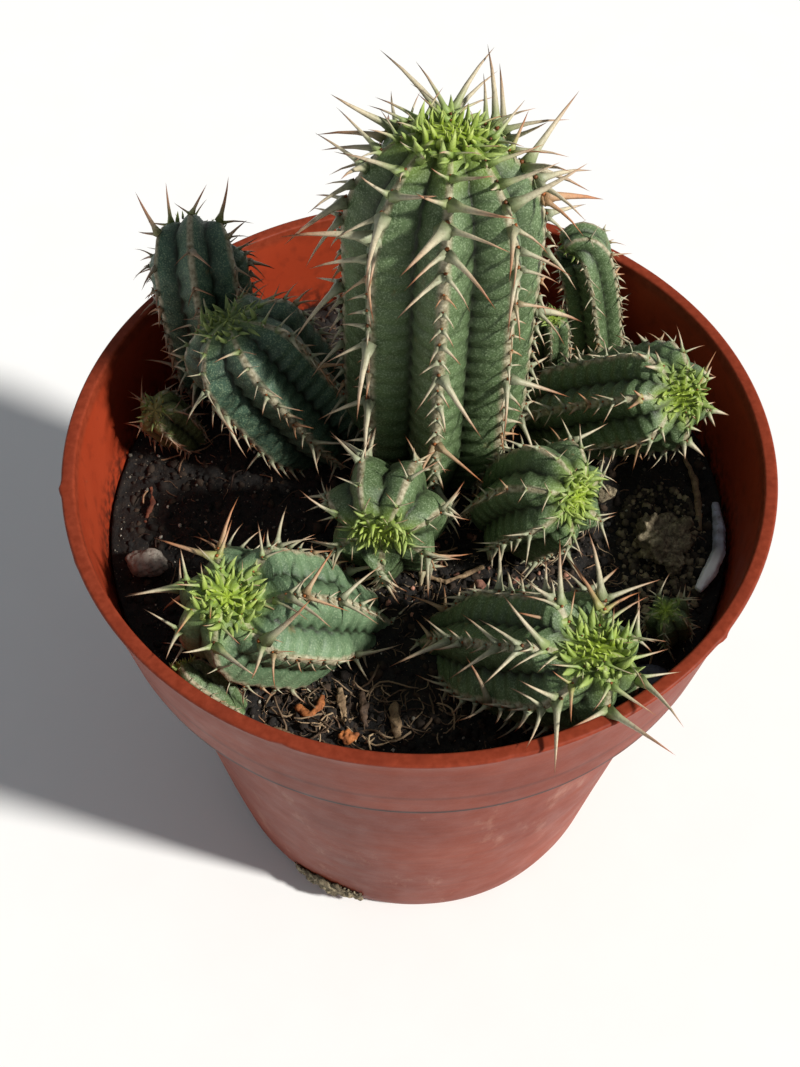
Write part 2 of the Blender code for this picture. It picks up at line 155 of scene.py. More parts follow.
def settle_modifiers(holder, name):
    """Turns an object and its modifiers into one plain mesh piece, and removes the holder."""
    bpy.context.view_layer.update()
    depsgraph = bpy.context.evaluated_depsgraph_get()
    mesh = bpy.data.meshes.new_from_object(
        holder.evaluated_get(depsgraph), preserve_all_data_layers=True, depsgraph=depsgraph)
    mesh.name = name
    bpy.data.objects.remove(holder)
    return in_scene(name, mesh)


def hand_over(piece, slot, *nodes):
    """The piece rides on the plant's one body and stands for its solids, which are hidden; slot is not used.
    """
    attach(piece, "root")
    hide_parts(*nodes)
    print(f"{piece.name}: {len(piece.data.polygons)} faces, for {', '.join(nodes)}")
    return piece


# %% [markdown]
# ## Sums in a node tree
# Both the shapes and the finishes below are sums of waves and noises. Written one node at a time they
# can't be read, so a small class lets a value that runs through a tree be added and multiplied like any
# number.

# %% Values that run through a node tree
def plug(tree, value, socket):
    """Links a value into a socket, or sets the socket to a plain number, colour or name."""
    if isinstance(value, Flow):
        tree.links.new(value.socket, socket)
    else:
        socket.default_value = value


def add(tree, kind, sockets=None, **settings):
    """Adds a node, with its settings and with the values of its sockets."""
    node = tree.nodes.new(kind)
    for label, value in settings.items():
        setattr(node, label, value)
    for key, value in (sockets or {}).items():
        plug(tree, value, node.inputs[key])
    return node


class Flow:
    """One value that runs through a node tree, so that a sum of such values is written as a sum."""

    def __init__(self, tree, socket):
        self.tree, self.socket = tree, socket

    def do(self, operation, *others):
        node = add(self.tree, "ShaderNodeMath", dict(enumerate((self, *others))), operation=operation)
        return Flow(self.tree, node.outputs[0])

    def __add__(self, other):
        return self.do("ADD", other)

    def __sub__(self, other):
        return self.do("SUBTRACT", other)

    def __rsub__(self, other):
        return (self * -1.0) + other

    def __mul__(self, other):
        return self.do("MULTIPLY", other)

    def __truediv__(self, other):
        return self.do("DIVIDE", other)

    def __pow__(self, other):
        return self.do("POWER", other)

    __radd__, __rmul__ = __add__, __mul__

    def hill(self, width):
        """One where this value is nought, falling smoothly to nought a few widths away."""
        return ((self / width) ** 2.0 * -1.0).do("EXPONENT")

    def span(self, low, high, to_low=0.0, to_high=1.0):
        """This value's place between low and high, held between the two ends."""
        node = add(self.tree, "ShaderNodeMapRange", {0: self, 1: low, 2: high, 3: to_low, 4: to_high})
        return Flow(self.tree, node.outputs[0])


# %% [markdown]
# ## The camera and the light
# The plant is looked down on from about 51 degrees above its rim, from the front. One broad lamp stands
# to the right and a little in front, low enough to leave the left sides dark, and the pale surroundings
# fill the shade. The floor is plain and pale.

# %% Camera
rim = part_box("pot")[1].z
CAMERA_DISTANCE = 237 * MM
CAMERA_HEIGHT_ANGLE = math.radians(50.92)
SENSOR_WIDTH, FOCAL_LENGTH = 36, 47.2352
AIM_RIGHT, AIM_DOWN = math.radians(0.7857), math.radians(-3.6905)
CAMERA_ROLL = math.radians(1.05)

forward = Vector((0, math.cos(CAMERA_HEIGHT_ANGLE), -math.sin(CAMERA_HEIGHT_ANGLE)))
right = Vector((1, 0, 0))
up = right.cross(forward)
eye = Vector((0, 0, rim)) - forward * CAMERA_DISTANCE
axes = Matrix((right, -up, forward))
turned = (Matrix.Rotation(AIM_RIGHT, 3, "Y") @ Matrix.Rotation(-AIM_DOWN, 3, "X")
          @ Matrix.Rotation(CAMERA_ROLL, 3, "Z") @ axes)
camera = in_scene("camera", bpy.data.cameras.new("camera"))
camera.data.sensor_width = SENSOR_WIDTH
camera.data.lens = FOCAL_LENGTH
camera.data.clip_start = 0.01
stance = Matrix((turned[0], -turned[1], -turned[2])).transposed()
camera.matrix_world = Matrix.Translation(eye) @ stance.to_4x4()
scene.camera = camera
print("camera at", [round(x, 4) for x in eye])

# %% Light and floor
SUN_SIDE, SUN_HEIGHT, SUN_WIDTH = math.radians(-20), math.radians(36), math.radians(5)
SUN_STRENGTH, SKY_STRENGTH = 4.9, 0.24

key = in_scene("key_light", bpy.data.lights.new("key_light", "SUN"))
key.data.energy = SUN_STRENGTH
key.data.angle = SUN_WIDTH
key.data.color = (1.0, 0.975, 0.93)
toward_key = Vector((math.cos(SUN_HEIGHT) * math.cos(SUN_SIDE), math.cos(SUN_HEIGHT) * math.sin(SUN_SIDE),
                     math.sin(SUN_HEIGHT)))
key.rotation_euler = toward_key.to_track_quat("Z", "Y").to_euler()

world = bpy.data.worlds.new("soft_studio")
world.use_nodes = True
world.node_tree.nodes["Background"].inputs["Color"].default_value = (0.88, 0.94, 1.0, 1)
world.node_tree.nodes["Background"].inputs["Strength"].default_value = SKY_STRENGTH
scene.world = world
scene.view_settings.view_transform = "Standard"


# %% [markdown]
# ## How finishes are made
# Every finish starts from the principled shader. Colours are given as a paint chart would give them,
# from 0 to 255, and turned into linear light. Patterns run on the object's own coordinates, so they
# stay the same size on a big piece and a small one.

# %% Helpers for finishes
def colour(red, green, blue):
    """A paint-chart colour as linear light."""
    return tuple((c / 255 / 12.92 if c <= 10 else ((c / 255 + 0.055) / 1.055) ** 2.4)
                 for c in (red, green, blue)) + (1.0,)


def dimmed(shade, share):
    """The same colour, with only a share of its light."""
    return tuple(c * share for c in shade[:3]) + (1.0,)


def finish(name, roughness, **sockets):
    """A new material: its tree, and the shader that everything ends in."""
    material = bpy.data.materials.new(name)
    material.use_nodes = True
    tree = material.node_tree
    shader = tree.nodes["Principled BSDF"]
    shader.inputs["Roughness"].default_value = roughness
    for label, value in sockets.items():
        shader.inputs[label.replace("_", " ")].default_value = value
    return material, tree, shader


def grain(tree, size, detail=3.0, squeeze=(1, 1, 1), roughness=0.55):
    """Noise on the object's coordinates, whose lumps are about size metres across."""
    place = add(tree, "ShaderNodeTexCoord")
    spread = add(tree, "ShaderNodeMapping", {"Scale": squeeze})
    tree.links.new(place.outputs["Object"], spread.inputs["Vector"])
    node = add(tree, "ShaderNodeTexNoise", {"Scale": 1 / size, "Detail": detail, "Roughness": roughness})
    tree.links.new(spread.outputs["Vector"], node.inputs["Vector"])
    return Flow(tree, node.outputs["Fac"])


def read(tree, label):
    """A number stored on the mesh's points."""
    return Flow(tree, add(tree, "ShaderNodeAttribute", attribute_name=label).outputs["Fac"])


def place_along(tree, axis):
    """The object's own coordinate along one axis, in metres."""
    split = add(tree, "ShaderNodeSeparateXYZ")
    tree.links.new(add(tree, "ShaderNodeTexCoord").outputs["Object"], split.inputs[0])
    return Flow(tree, split.outputs[axis])


def blend(tree, share, first, second):
    """First colour where share is nought, second where it is one."""
    node = add(tree, "ShaderNodeMix", {0: share, 6: first, 7: second}, data_type="RGBA")
    return Flow(tree, node.outputs[2])


def coat(tree, shader, base, height, depth, dullness=None):
    """Ends a finish: its colour, the grain that is too fine to model, and its roughness where that varies."""
    plug(tree, base, shader.inputs["Base Color"])
    if dullness is not None:
        plug(tree, dullness, shader.inputs["Roughness"])
    node = add(tree, "ShaderNodeBump", {"Height": height, "Distance": depth, "Strength": 1.0})
    tree.links.new(node.outputs["Normal"], shader.inputs["Normal"])


# %% Floor
floor_finish, tree, shader = finish("pale_paper", 0.9)
plug(tree, blend(tree, grain(tree, 0.02), colour(243, 243, 242), colour(248, 248, 247)),
     shader.inputs["Base Color"])
FLOOR_REACH = 6.0
floor = mesh_piece("studio_floor", [(x, y, 0) for x, y in ((-1, -1), (1, -1), (1, 1), (-1, 1))],
                   [(0, 1, 2, 3)],
                   [floor_finish])
floor.data.transform(Matrix.Scale(FLOOR_REACH, 4))
floor.data.transform(Matrix.Translation((0, 0, -0.2 * MM)))
print("floor and light set")

# %% [markdown]
# ## The pot
# A thin nursery pot is moulded in one shot: a cone for the soil, a wider collar that stacks on the pot
# below, and a flat brim. Its shape is a turned outline, so it is spun round the middle in many narrow
# steps. The mould leaves small nubs on the brim and the wall is never quite true, so the turned rings
# are pushed about by a fraction of a millimetre. Six drain holes are cut through the floor.

# %% Outline of the pot
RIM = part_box("pot")[1].x
POT_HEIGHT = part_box("pot")[1].z
WALL, FLOOR_THICK, BRIM_WIDTH = 1.3 * MM, 1.6 * MM, 2.3 * MM
COLLAR_FOOT_Z = POT_HEIGHT - 24.8 * MM
COLLAR_FOOT, BODY_TOP, BASE = RIM - 3.8 * MM, RIM - 8.1 * MM, RIM - 18.9 * MM
LEDGE_Z = COLLAR_FOOT_Z + 1.3 * MM
COLLAR_INNER_FOOT = RIM - 5.1 * MM
BASE_CORNER, LIP = 2.5 * MM, 0.5 * MM


def body_outside(z):
    """Radius of the body's outer wall at height z."""
    return BASE + (BODY_TOP - BASE) * z / COLLAR_FOOT_Z


def collar_inside(z):
    """Radius of the collar's inner wall at height z, held at its two ends."""
    share = np.clip((z - LEDGE_Z) / (POT_HEIGHT - LEDGE_Z), 0, 1)
    return COLLAR_INNER_FOOT + (RIM - BRIM_WIDTH - COLLAR_INNER_FOOT) * share


def line(start, end, steps):
    """Points from start up to, but not with, end."""
    return [tuple(np.add(start, np.subtract(end, start) * k / steps)) for k in range(steps)]


def corner(middle, radius, first, last, steps=5):
    """Points round a corner, from one angle in degrees to another."""
    return [(middle[0] + radius * math.cos(a), middle[1] + radius * math.sin(a))
            for a in np.radians(np.linspace(first, last, steps))]


outside = (
    line((0, 0), (BASE - BASE_CORNER, 0), 12)
    + corner((BASE - BASE_CORNER, BASE_CORNER), BASE_CORNER, -90, -8, 7)
    + line((body_outside(BASE_CORNER), BASE_CORNER), (BODY_TOP, COLLAR_FOOT_Z - 0.6 * MM), 30)[1:]
    + [(BODY_TOP, COLLAR_FOOT_Z - 0.6 * MM), (BODY_TOP + 0.2 * MM, COLLAR_FOOT_Z - 0.1 * MM)]
    + corner((COLLAR_FOOT - LIP, COLLAR_FOOT_Z + LIP), LIP, -90, 0)
    + line((COLLAR_FOOT, COLLAR_FOOT_Z + LIP), (RIM - LIP, POT_HEIGHT - LIP), 14)[1:]
    + corner((RIM - LIP, POT_HEIGHT - LIP), LIP, 0, 90, 6)
)
inside = (
    corner((RIM - BRIM_WIDTH + LIP, POT_HEIGHT - LIP), LIP, 90, 180, 6)
    + line((RIM - BRIM_WIDTH, POT_HEIGHT - LIP), (COLLAR_INNER_FOOT, LEDGE_Z), 14)[1:]
    + line((COLLAR_INNER_FOOT, LEDGE_Z), (BODY_TOP - WALL, LEDGE_Z - 0.3 * MM), 3)
    + line((BODY_TOP - WALL, LEDGE_Z - 0.3 * MM), (body_outside(FLOOR_THICK) - WALL, FLOOR_THICK), 16)
    + line((body_outside(FLOOR_THICK) - WALL, FLOOR_THICK), (0, FLOOR_THICK), 12)
    + [(0, FLOOR_THICK)]
)
outline = np.array(outside + inside)
inner_share = np.array([0.0] * len(outside) + [1.0] * len(inside))
print("pot outline:", len(outline), "points")

# %% Turn the pot
POT_STEPS = 420
NUBS = ((190.5, 107.0, 0.9), (8.0, 96.0, 0.8), (322.0, 106.0, 1.0), (251.0, 106.5, -0.5),
        (284.0, 106.6, -0.45),
        (205.0, 105.5, 0.6), (300.0, 106.0, 0.35), (20.0, 105.0, 0.5))


def spin(outline, steps):
    """Points and quads of an outline turned round the upright axis; points on the axis are shared."""
    angles = np.arange(steps) * TURN / steps
    points = np.stack([np.outer(np.cos(angles), outline[:, 0]), np.outer(np.sin(angles), outline[:, 0]),
                       np.tile(outline[:, 1], (steps, 1))], -1)
    rows = len(outline)
    quads = [(a * rows + k, b * rows + k, b * rows + k + 1, a * rows + k + 1)
             for a in range(steps) for b in [(a + 1) % steps] for k in range(rows - 1)]
    return points.reshape(-1, 3), quads, np.repeat(angles, rows)


points, quads, angles = spin(outline, POT_STEPS)
radius = np.hypot(points[:, 0], points[:, 1])
z = points[:, 2]
out = np.stack([np.cos(angles), np.sin(angles), 0 * angles], 1)
wave = np.array([noise.noise(Vector((math.cos(a) * 1.3, math.sin(a) * 1.3, h / 0.030)))
                 for a, h in zip(angles, z)])
dent = np.array([noise.noise(Vector((math.cos(a) * 5, math.sin(a) * 5, h / 0.012 + 9)))
                 for a, h in zip(angles, z)])
bare_wall = np.clip((radius - 0.6 * BASE) / (0.3 * BASE), 0, 1) * np.clip((POT_HEIGHT - z) / (6 * MM), 0, 1)
push = bare_wall * (0.16 * MM * wave + 0.05 * MM * dent)
for degrees, height, size in NUBS:
    turn = (np.degrees(angles) - degrees + 180) % 360 - 180
    across = radius * np.radians(turn)
    near = np.exp(-((across / (1.1 * MM)) ** 2) - ((z - height * MM) / (0.9 * MM)) ** 2)
    push += size * 0.55 * MM * near * (radius > RIM - 1.2 * MM)
points = points + out * push[:, None]
pot = mesh_piece("nursery_pot", points, quads, inner=np.tile(inner_share, POT_STEPS))
weld(pot.data, 0.01 * MM)
outward(pot.data)
print("pot turned:", len(pot.data.polygons), "faces")

# %% Cut the drain holes
DRAIN_RADIUS, DRAIN_RING, DRAINS = 4 * MM, 28 * MM, 6

work = bmesh.new()
for k in range(DRAINS):
    turn = TURN * (k + 0.5) / DRAINS
    bmesh.ops.create_cone(work, cap_ends=True, segments=40, radius1=DRAIN_RADIUS, radius2=DRAIN_RADIUS,
                          depth=8 * MM, matrix=Matrix.Translation((DRAIN_RING * math.cos(turn),
                                                                   DRAIN_RING * math.sin(turn),
                                                                   FLOOR_THICK / 2)))
cutter_mesh = bpy.data.meshes.new("drain_cutters")
work.to_mesh(cutter_mesh)
work.free()
cutters = in_scene("drain_cutters", cutter_mesh)
cut = pot.modifiers.new("drain holes", "BOOLEAN")
cut.operation, cut.solver, cut.object = "DIFFERENCE", "EXACT", cutters
pot = settle_modifiers(pot, "nursery_pot_wall")
bpy.data.objects.remove(cutters)
print("drain holes cut:", DRAINS)

# %% [markdown]
# ## Terracotta-coloured plastic
# The brim is rubbed clean and shows the full orange. The outer wall is duller and mauve, with faint
# level streaks from the mould, pale lime stains and scuffs, and painted shade: a dark line on the
# collar's lower edge, where its underside steps in over the body. Inside it is the same plastic, fresher,
# and darker in patches towards the soil line. Height on the object and one stored number, inner, tell the
# zones apart.

# %% Pot plastic
plastic, tree, shader = finish("terracotta_plastic", 0.5, Specular_IOR_Level=0.12)
inner = read(tree, "inner")
height = place_along(tree, 2)
streaks = grain(tree, 2.4 * MM, 4, squeeze=(0.05, 0.05, 1.6))
clouds = grain(tree, 26 * MM, 4)
specks = grain(tree, 0.45 * MM, 2)
lime = grain(tree, 9 * MM, 6, squeeze=(1, 1, 0.35), roughness=0.7)
outer_wall = blend(tree, clouds.span(0.35, 0.68), colour(118, 46, 26), colour(138, 60, 37))
outer_wall = blend(tree, streaks.span(0.42, 0.66, 0, 0.28), outer_wall, colour(100, 42, 28))
outer_wall = blend(tree, specks.span(0.5, 0.75, 0, 0.12), outer_wall, colour(156, 92, 70))
below_collar = (height - COLLAR_FOOT_Z).span(0, -20 * MM)
outer_wall = blend(tree, lime.span(0.56, 0.74, 0, 0.42) * below_collar, outer_wall, colour(190, 148, 128))
band = (height - (POT_HEIGHT - 17 * MM)).hill(0.7 * MM) * 0.35
# Painted shade: a dark line on the collar's lower edge, where its underside steps in over the body.
collar_foot_shade = (height - (COLLAR_FOOT_Z + 0.55 * MM)).hill(0.7 * MM) * 1.3
outer_wall = blend(tree, (band + collar_foot_shade).do("MINIMUM", 1.0), outer_wall, colour(50, 20, 14))
inner_wall = blend(tree, clouds.span(0.3, 0.7), colour(142, 50, 27), colour(158, 62, 36))
inner_wall = blend(tree, grain(tree, 3 * MM, 5).span(0.52, 0.75, 0, 0.5), inner_wall, colour(96, 38, 24))
# Darker in patches towards the soil line.
darker_towards_soil = (height - (POT_HEIGHT - 13 * MM)).span(0, -7 * MM) * grain(tree, 1.5 * MM, 5).span(0.4, 0.6)
inner_wall = blend(tree, darker_towards_soil, inner_wall, colour(46, 26, 20))
brim_colour = blend(tree, grain(tree, 1.2 * MM, 4).span(0.35, 0.7),
                    colour(122, 48, 28), colour(142, 60, 38))
brim_colour = blend(tree, grain(tree, 7 * MM, 5).span(0.55, 0.72, 0, 0.5), brim_colour, colour(112, 44, 28))
wall = blend(tree, inner, outer_wall, inner_wall)
wall = blend(tree, (height - (POT_HEIGHT - 2.6 * MM)).span(0, 1.2 * MM), wall, brim_colour)
coat(tree, shader, wall, streaks * 0.4 + specks * 0.3 + grain(tree, 0.9 * MM, 3) * 0.4, 0.035 * MM,
     grain(tree, 5 * MM, 4).span(0.3, 0.7, 0.40, 0.52))
pot.data.materials.clear()
pot.data.materials.append(plastic)
outward(pot.data)
hand_over(pot, "pot_plastic", "pot")

# %% [markdown]
# ## Peat
# The soil is a plug of black peat that fills the pot up to 18 mm under its brim. Its top is a fine
# round grid, low at the wall and a little higher in the middle, and lumps of several sizes are added up
# with a fractal noise. Below the top it follows the pot's inner wall down to the floor, so that peat
# shows in the drain holes.

# %% Soil plug
SOIL_EDGE = COLLAR_INNER_FOOT - 0.05 * MM
SOIL_EDGE_Z, SOIL_CROWN = 87.8 * MM, 1.6 * MM
SOIL_STEP, SOIL_STEPS = 0.62 * MM, 400


def soil_top(rho):
    """Height of the smooth soil at a distance from the middle."""
    return SOIL_EDGE_Z + SOIL_CROWN * (1 - (rho / SOIL_EDGE) ** 2)


def lumps(x, y):
    """Height that the peat's lumps add at a place, in metres."""
    big = noise.noise(Vector((x, y, 0.0)) / (14 * MM))
    middle = noise.noise(Vector((x, y, 0.011)) / (4.5 * MM))
    fine = noise.fractal(Vector((x, y, 0.023)) / (1.7 * MM), 0.8, 2.1, 4)
    return 1.1 * MM * big + 0.9 * MM * middle + 0.55 * MM * fine


rings = int(SOIL_EDGE / SOIL_STEP)
top = [(SOIL_EDGE * k / rings, 0.0) for k in range(rings + 1)]
SOIL_GAP, SOIL_FOOT = 0.4 * MM, FLOOR_THICK + 0.1 * MM
foot_corner = (body_outside(FLOOR_THICK) - WALL - SOIL_GAP, SOIL_FOOT)
under = ([(COLLAR_INNER_FOOT - 0.2 * MM, LEDGE_Z + 0.2 * MM),
          (body_outside(LEDGE_Z) - WALL - 0.3 * MM, LEDGE_Z)]
         + line((body_outside(COLLAR_FOOT_Z) - WALL - SOIL_GAP, COLLAR_FOOT_Z - MM), foot_corner, 10)
         + line(foot_corner, (0, SOIL_FOOT), 12) + [(0, SOIL_FOOT)])
points, quads, angles = spin(np.array(top + under), SOIL_STEPS)
rows = len(top) + len(under)
for k in range(len(points)):
    if k % rows < len(top):
        rho = math.hypot(points[k][0], points[k][1])
        near_wall = min(1.0, (SOIL_EDGE - rho) / (2 * MM))
        points[k][2] = soil_top(rho) + lumps(points[k][0], points[k][1]) * (0.35 + 0.65 * near_wall)
soil = mesh_piece("peat_plug", points, quads)
weld(soil.data, 0.01 * MM)
outward(soil.data)
print("soil plug:", len(soil.data.polygons), "faces")


# %% Peat finish
def peat_finish(name, dark, brown, share):
    """Crumbly peat: black with brown fibres, a few pale specks, and no shine."""
    material, tree, shader = finish(name, 0.92)
    fibres = grain(tree, 1.1 * MM, 6, roughness=0.75)
    base = blend(tree, fibres.span(0.45, 0.72, 0, share), dark, brown)
    base = blend(tree, grain(tree, 8 * MM, 3).span(0.55, 0.8, 0, 0.5), base, brown)
    pale_specks = grain(tree, 0.5 * MM, 3, roughness=0.4).span(0.69, 0.74, 0, 0.8)
    base = blend(tree, pale_specks, base, colour(150, 138, 118))
    coat(tree, shader, base, fibres + grain(tree, 0.35 * MM, 3) * 0.6, 0.35 * MM,
         grain(tree, 2 * MM, 3).span(0.3, 0.7, 0.7, 0.98))
    return material


peat = peat_finish("black_peat", colour(14, 12, 10), colour(52, 40, 30), 0.75)
soil.data.materials.append(peat)
hand_over(soil, "peat_soil", "soil")

# %% [markdown]
# ## The middle line of each stem
# A stem grows as a ribbed column along one curved middle line, from its foot in the soil, up, and out
# towards the light. The frame holds only its outside, so the line is drawn again here by the rule that
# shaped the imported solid: a smooth curve through foot, middle and tip, a narrower neck at the soil, a
# full column, and a rounded tip. Only the main stem's top is drawn more pointed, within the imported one,
# because its young spines fill out the shoulders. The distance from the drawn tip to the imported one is
# printed as a check.

# %% Draw the middle lines
# foot, middle and tip in millimetres, radius over the crests, and number of ribs
STEMS = {
    "main_stem": ((2.5, 10.5, 87.0), (2.8, 10.8, 125.0), (3.8, 12.6, 162.0), 15.4, 8),
    "left_stem": ((-16.0, 15.0, 87.0), (-24.2, 14.0, 104.0), (-32.5, 14.3, 121.0), 11.3, 7),
    "centre_front_stem": ((-4.5, -8.5, 87.0), (-4.8, -12.5, 102.0), (-6.0, -22.7, 112.0), 9.8, 7),
    "right_centre_stem": ((15.5, -3.0, 87.0), (19.0, -7.5, 100.5), (25.6, -14.4, 112.0), 9.3, 7),
    "front_left_stem": ((-11.0, -24.5, 87.0), (-21.7, -29.4, 98.0), (-29.0, -33.4, 110.0), 11.4, 7),
    "front_right_stem": ((7.0, -28.0, 87.0), (18.0, -36.2, 99.0), (26.9, -42.6, 112.0), 10.9, 7),
    "right_stem": ((22.0, 22.0, 87.0), (34.0, 15.2, 100.5), (44.3, 7.3, 112.0), 9.7, 7),
    "back_left_stem": ((-37.5, 29.0, 87.0), (-38.6, 28.3, 107.0), (-39.7, 34.5, 120.0), 8.8, 7),
    "back_right_stem": ((34.5, 34.5, 87.0), (31.3, 35.4, 106.0), (26.6, 35.6, 118.0), 5.4, 6),
    "back_right_offset": ((25.5, 31.5, 88.0), (24.6, 31.0, 98.0), (23.8, 30.0, 107.0), 3.3, 5),
    "left_offset": ((-42.5, 15.0, 88.0), (-44.5, 13.5, 94.5), (-46.8, 10.5, 102.0), 4.5, 5),
    "front_left_offset": ((-29.5, -40.5, 88.5), (-33.3, -40.0, 93.5), (-37.0, -38.2, 97.5), 3.5, 5),
    "front_right_offset": ((43.0, -25.5, 88.0), (42.0, -26.3, 93.5), (40.5, -27.0, 98.5), 3.9, 5),
}
NECK_SHARE, SWELL = 0.62, 1.2
# how far down from the tip the rounding starts, as a share of the thickness, and how square it is
DOMES, USUAL_DOME = {"main_stem": (1.25, 2.1)}, (0.75, 2.4)
BURIED = 5 * MM
FINE_STEPS = 1200


def soft_step(x):
    """Nought to one, with a soft start and a soft end."""
    x = np.clip(x, 0, 1)
    return x * x * (3 - 2 * x)


def even_path(node, order, step):
    """The middle line in even steps along the skin, so that the round top gets its share of rings."""
    start, middle, end = (np.array(p) * MM for p in STEMS[node][:3])
    thick, ribs = STEMS[node][3] * MM, STEMS[node][4]
    dome, square = DOMES.get(node, USUAL_DOME)
    lean = unit(middle - start)
    handle = start + (lean + (0, 0, 1)) * 0.25 * thick
    bend = (8 * middle - start - 3 * handle - end) / 3
    t = np.linspace(0, 1, FINE_STEPS)[:, None]
    points = ((1 - t) ** 3 * start + 3 * (1 - t) ** 2 * t * handle
              + 3 * (1 - t) * t * t * bend + t ** 3 * end)
    foot = start - unit(points[1] - points[0]) * np.linspace(BURIED, 0, 40)[:-1, None]
    points = np.concatenate([foot, points])
    travel = np.concatenate([[0], np.cumsum(np.linalg.norm(np.diff(points, axis=0), axis=1))]) - BURIED
    left = (travel[-1] - travel) / (dome * thick)
    crest = thick * (NECK_SHARE + (1 - NECK_SHARE) * soft_step(travel / (SWELL * thick)))
    crest *= np.where(left < 1, np.maximum(1 - np.clip(1 - left, 0, 1) ** square, 0) ** (1 / square), 1)
    along = np.concatenate([[0], np.cumsum(np.hypot(np.diff(travel), np.diff(crest)))])
    places = np.linspace(0, along[-1], round(along[-1] / step))
    points = np.array([np.interp(places, along, column) for column in points.T]).T
    crest = np.maximum(np.interp(places, along, crest), 0.03 * MM)
    ahead = unit(np.gradient(points, axis=0))
    side, sides = np.array([math.sin(0.4 * order), -math.cos(0.4 * order), 0.0]), []
    for way in ahead:
        side = unit(side - np.dot(side, way) * way)
        sides.append(side)
    return dict(ribs=ribs, middle=points, crest=crest, side=np.array(sides), ahead=ahead, along=places,
                left=places[-1] - places)


SKIN_STEP = 0.35 * MM
SOIL_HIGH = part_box("soil")[1].z
paths = {node: even_path(node, order, SKIN_STEP) for order, node in enumerate(STEMS)}
for node, path in paths.items():
    packed = np.array([v.co for v in frame["nodes"][node].data.vertices])
    off = np.linalg.norm(packed - path["middle"][-1], axis=1).min()
    print(f"{node}: {path['ribs']} ribs, {len(path['crest'])} rings,",
          f"tip {off / MM:.2f} mm from the packed one")

# %% [markdown]
# ## Ribbed skin
# The rule of the shape is the same on every stem, so one node tree makes them all. A circle is swept
# along the middle line and scaled by the crest radius. Then each point moves in towards the middle by
# an amount that depends on how far it is from the nearest crest: little on the crest, most in the
# valley. Every rib is a row of soft bumps, one for each pair of spines, with furrows between them that
# slant down from the crest, and the bumps of neighbouring ribs are out of step, which bends the valley
# into a zigzag.

# %% A tree for ribbed skin
CREST_WIDTH = 0.17
RIB_STAGGER = 0.382


def new_tree(name, sockets):
    """A geometry tree with named inputs, and the values that those inputs bring in."""
    tree = bpy.data.node_groups.new(name, "GeometryNodeTree")
    tree.interface.new_socket("Geometry", in_out="INPUT", socket_type="NodeSocketGeometry")
    tree.interface.new_socket("Geometry", in_out="OUTPUT", socket_type="NodeSocketGeometry")
    for label, kind in sockets.items():
        tree.interface.new_socket(label, in_out="INPUT", socket_type="NodeSocket" + kind)
    entry = tree.nodes.new("NodeGroupInput")
    return tree, {s.name: Flow(tree, s) for s in entry.outputs if s.name}


def end_tree(tree, geometry, material):
    """Realizes every instance, sets the finish and ends the tree."""
    real = add(tree, "GeometryNodeRealizeInstances", {"Geometry": geometry})
    dressed = add(tree, "GeometryNodeSetMaterial",
                  {"Geometry": Flow(tree, real.outputs[0]), "Material": material})
    tree.links.new(dressed.outputs[0], tree.nodes.new("NodeGroupOutput").inputs[0])


def run_tree(holder, tree, name, values):
    """Puts the tree on an object, sets its named inputs and returns the plain mesh that it makes."""
    modifier = holder.modifiers.new(tree.name, "NODES")
    modifier.node_group = tree
    sockets = {s.name: s.identifier for s in tree.interface.items_tree
               if s.item_type == "SOCKET" and s.in_out == "INPUT"}
    for label, value in values.items():
        modifier[sockets[label]] = value
    return settle_modifiers(holder, name)


def stored(tree, label, kind="FLOAT"):
    """A value stored on the points, as the tree reads it."""
    return Flow(tree, add(tree, "GeometryNodeInputNamedAttribute", {"Name": label},
                          data_type=kind).outputs[0])


def store(tree, geometry, label, value):
    """The same geometry, with a number stored on its points."""
    node = add(tree, "GeometryNodeStoreNamedAttribute",
               {"Geometry": geometry, "Name": label, "Value": value},
               data_type="FLOAT")
    return Flow(tree, node.outputs[0])


def vector_sum(tree, operation, first, second):
    """A sum on vectors, or on a vector and a number for SCALE."""
    key = 3 if operation == "SCALE" else 1
    return Flow(tree, add(tree, "ShaderNodeVectorMath", {0: first, key: second},
                          operation=operation).outputs[0])


skin_tree, given = new_tree("ribbed skin", {
    "Ribs": "Float", "Columns": "Int", "Rib Depth": "Float", "Areole Pitch": "Float",
    "Bump Height": "Float",
    "Furrow Depth": "Float", "Zigzag": "Float", "Skin": "Material"})
tree = skin_tree
curve = Flow(tree, add(tree, "GeometryNodeMeshToCurve", {"Mesh": given["Geometry"]}).outputs[0])
curve = Flow(tree, add(tree, "GeometryNodeSetCurveNormal",
                       {"Curve": curve, "Normal": stored(tree, "side", "FLOAT_VECTOR")},
                       mode="FREE").outputs[0])
ring = Flow(tree, add(tree, "GeometryNodeCurvePrimitiveCircle",
                      {"Resolution": given["Columns"], "Radius": 1.0}).outputs[0])
count = Flow(tree, add(tree, "GeometryNodeInputIndex").outputs[0])
ring = store(tree, ring, "around", count / given["Columns"])
body = Flow(tree, add(tree, "GeometryNodeCurveToMesh",
                      {"Curve": curve, "Profile Curve": ring, "Scale": stored(tree, "crest_radius"),
                       "Fill Caps": True}).outputs[0])

# How far a point is from its crest (nought) to the valley (one), and which rib it is on.
along = stored(tree, "along")
turn = stored(tree, "around") * given["Ribs"]
wobble = (along / given["Areole Pitch"]).do("PINGPONG", 0.5) * 2.0 - 0.5
nearest = (turn + 0.5).do("FLOOR")
straight = (turn - nearest).do("ABSOLUTE") * 2.0
turn = turn + wobble * given["Zigzag"] * straight ** 3.0
from_crest = (turn - nearest).do("ABSOLUTE").do("MINIMUM", 0.5) * 2.0
rib = nearest.do("FLOORED_MODULO", given["Ribs"])
stagger = (rib * RIB_STAGGER).do("FRACT")

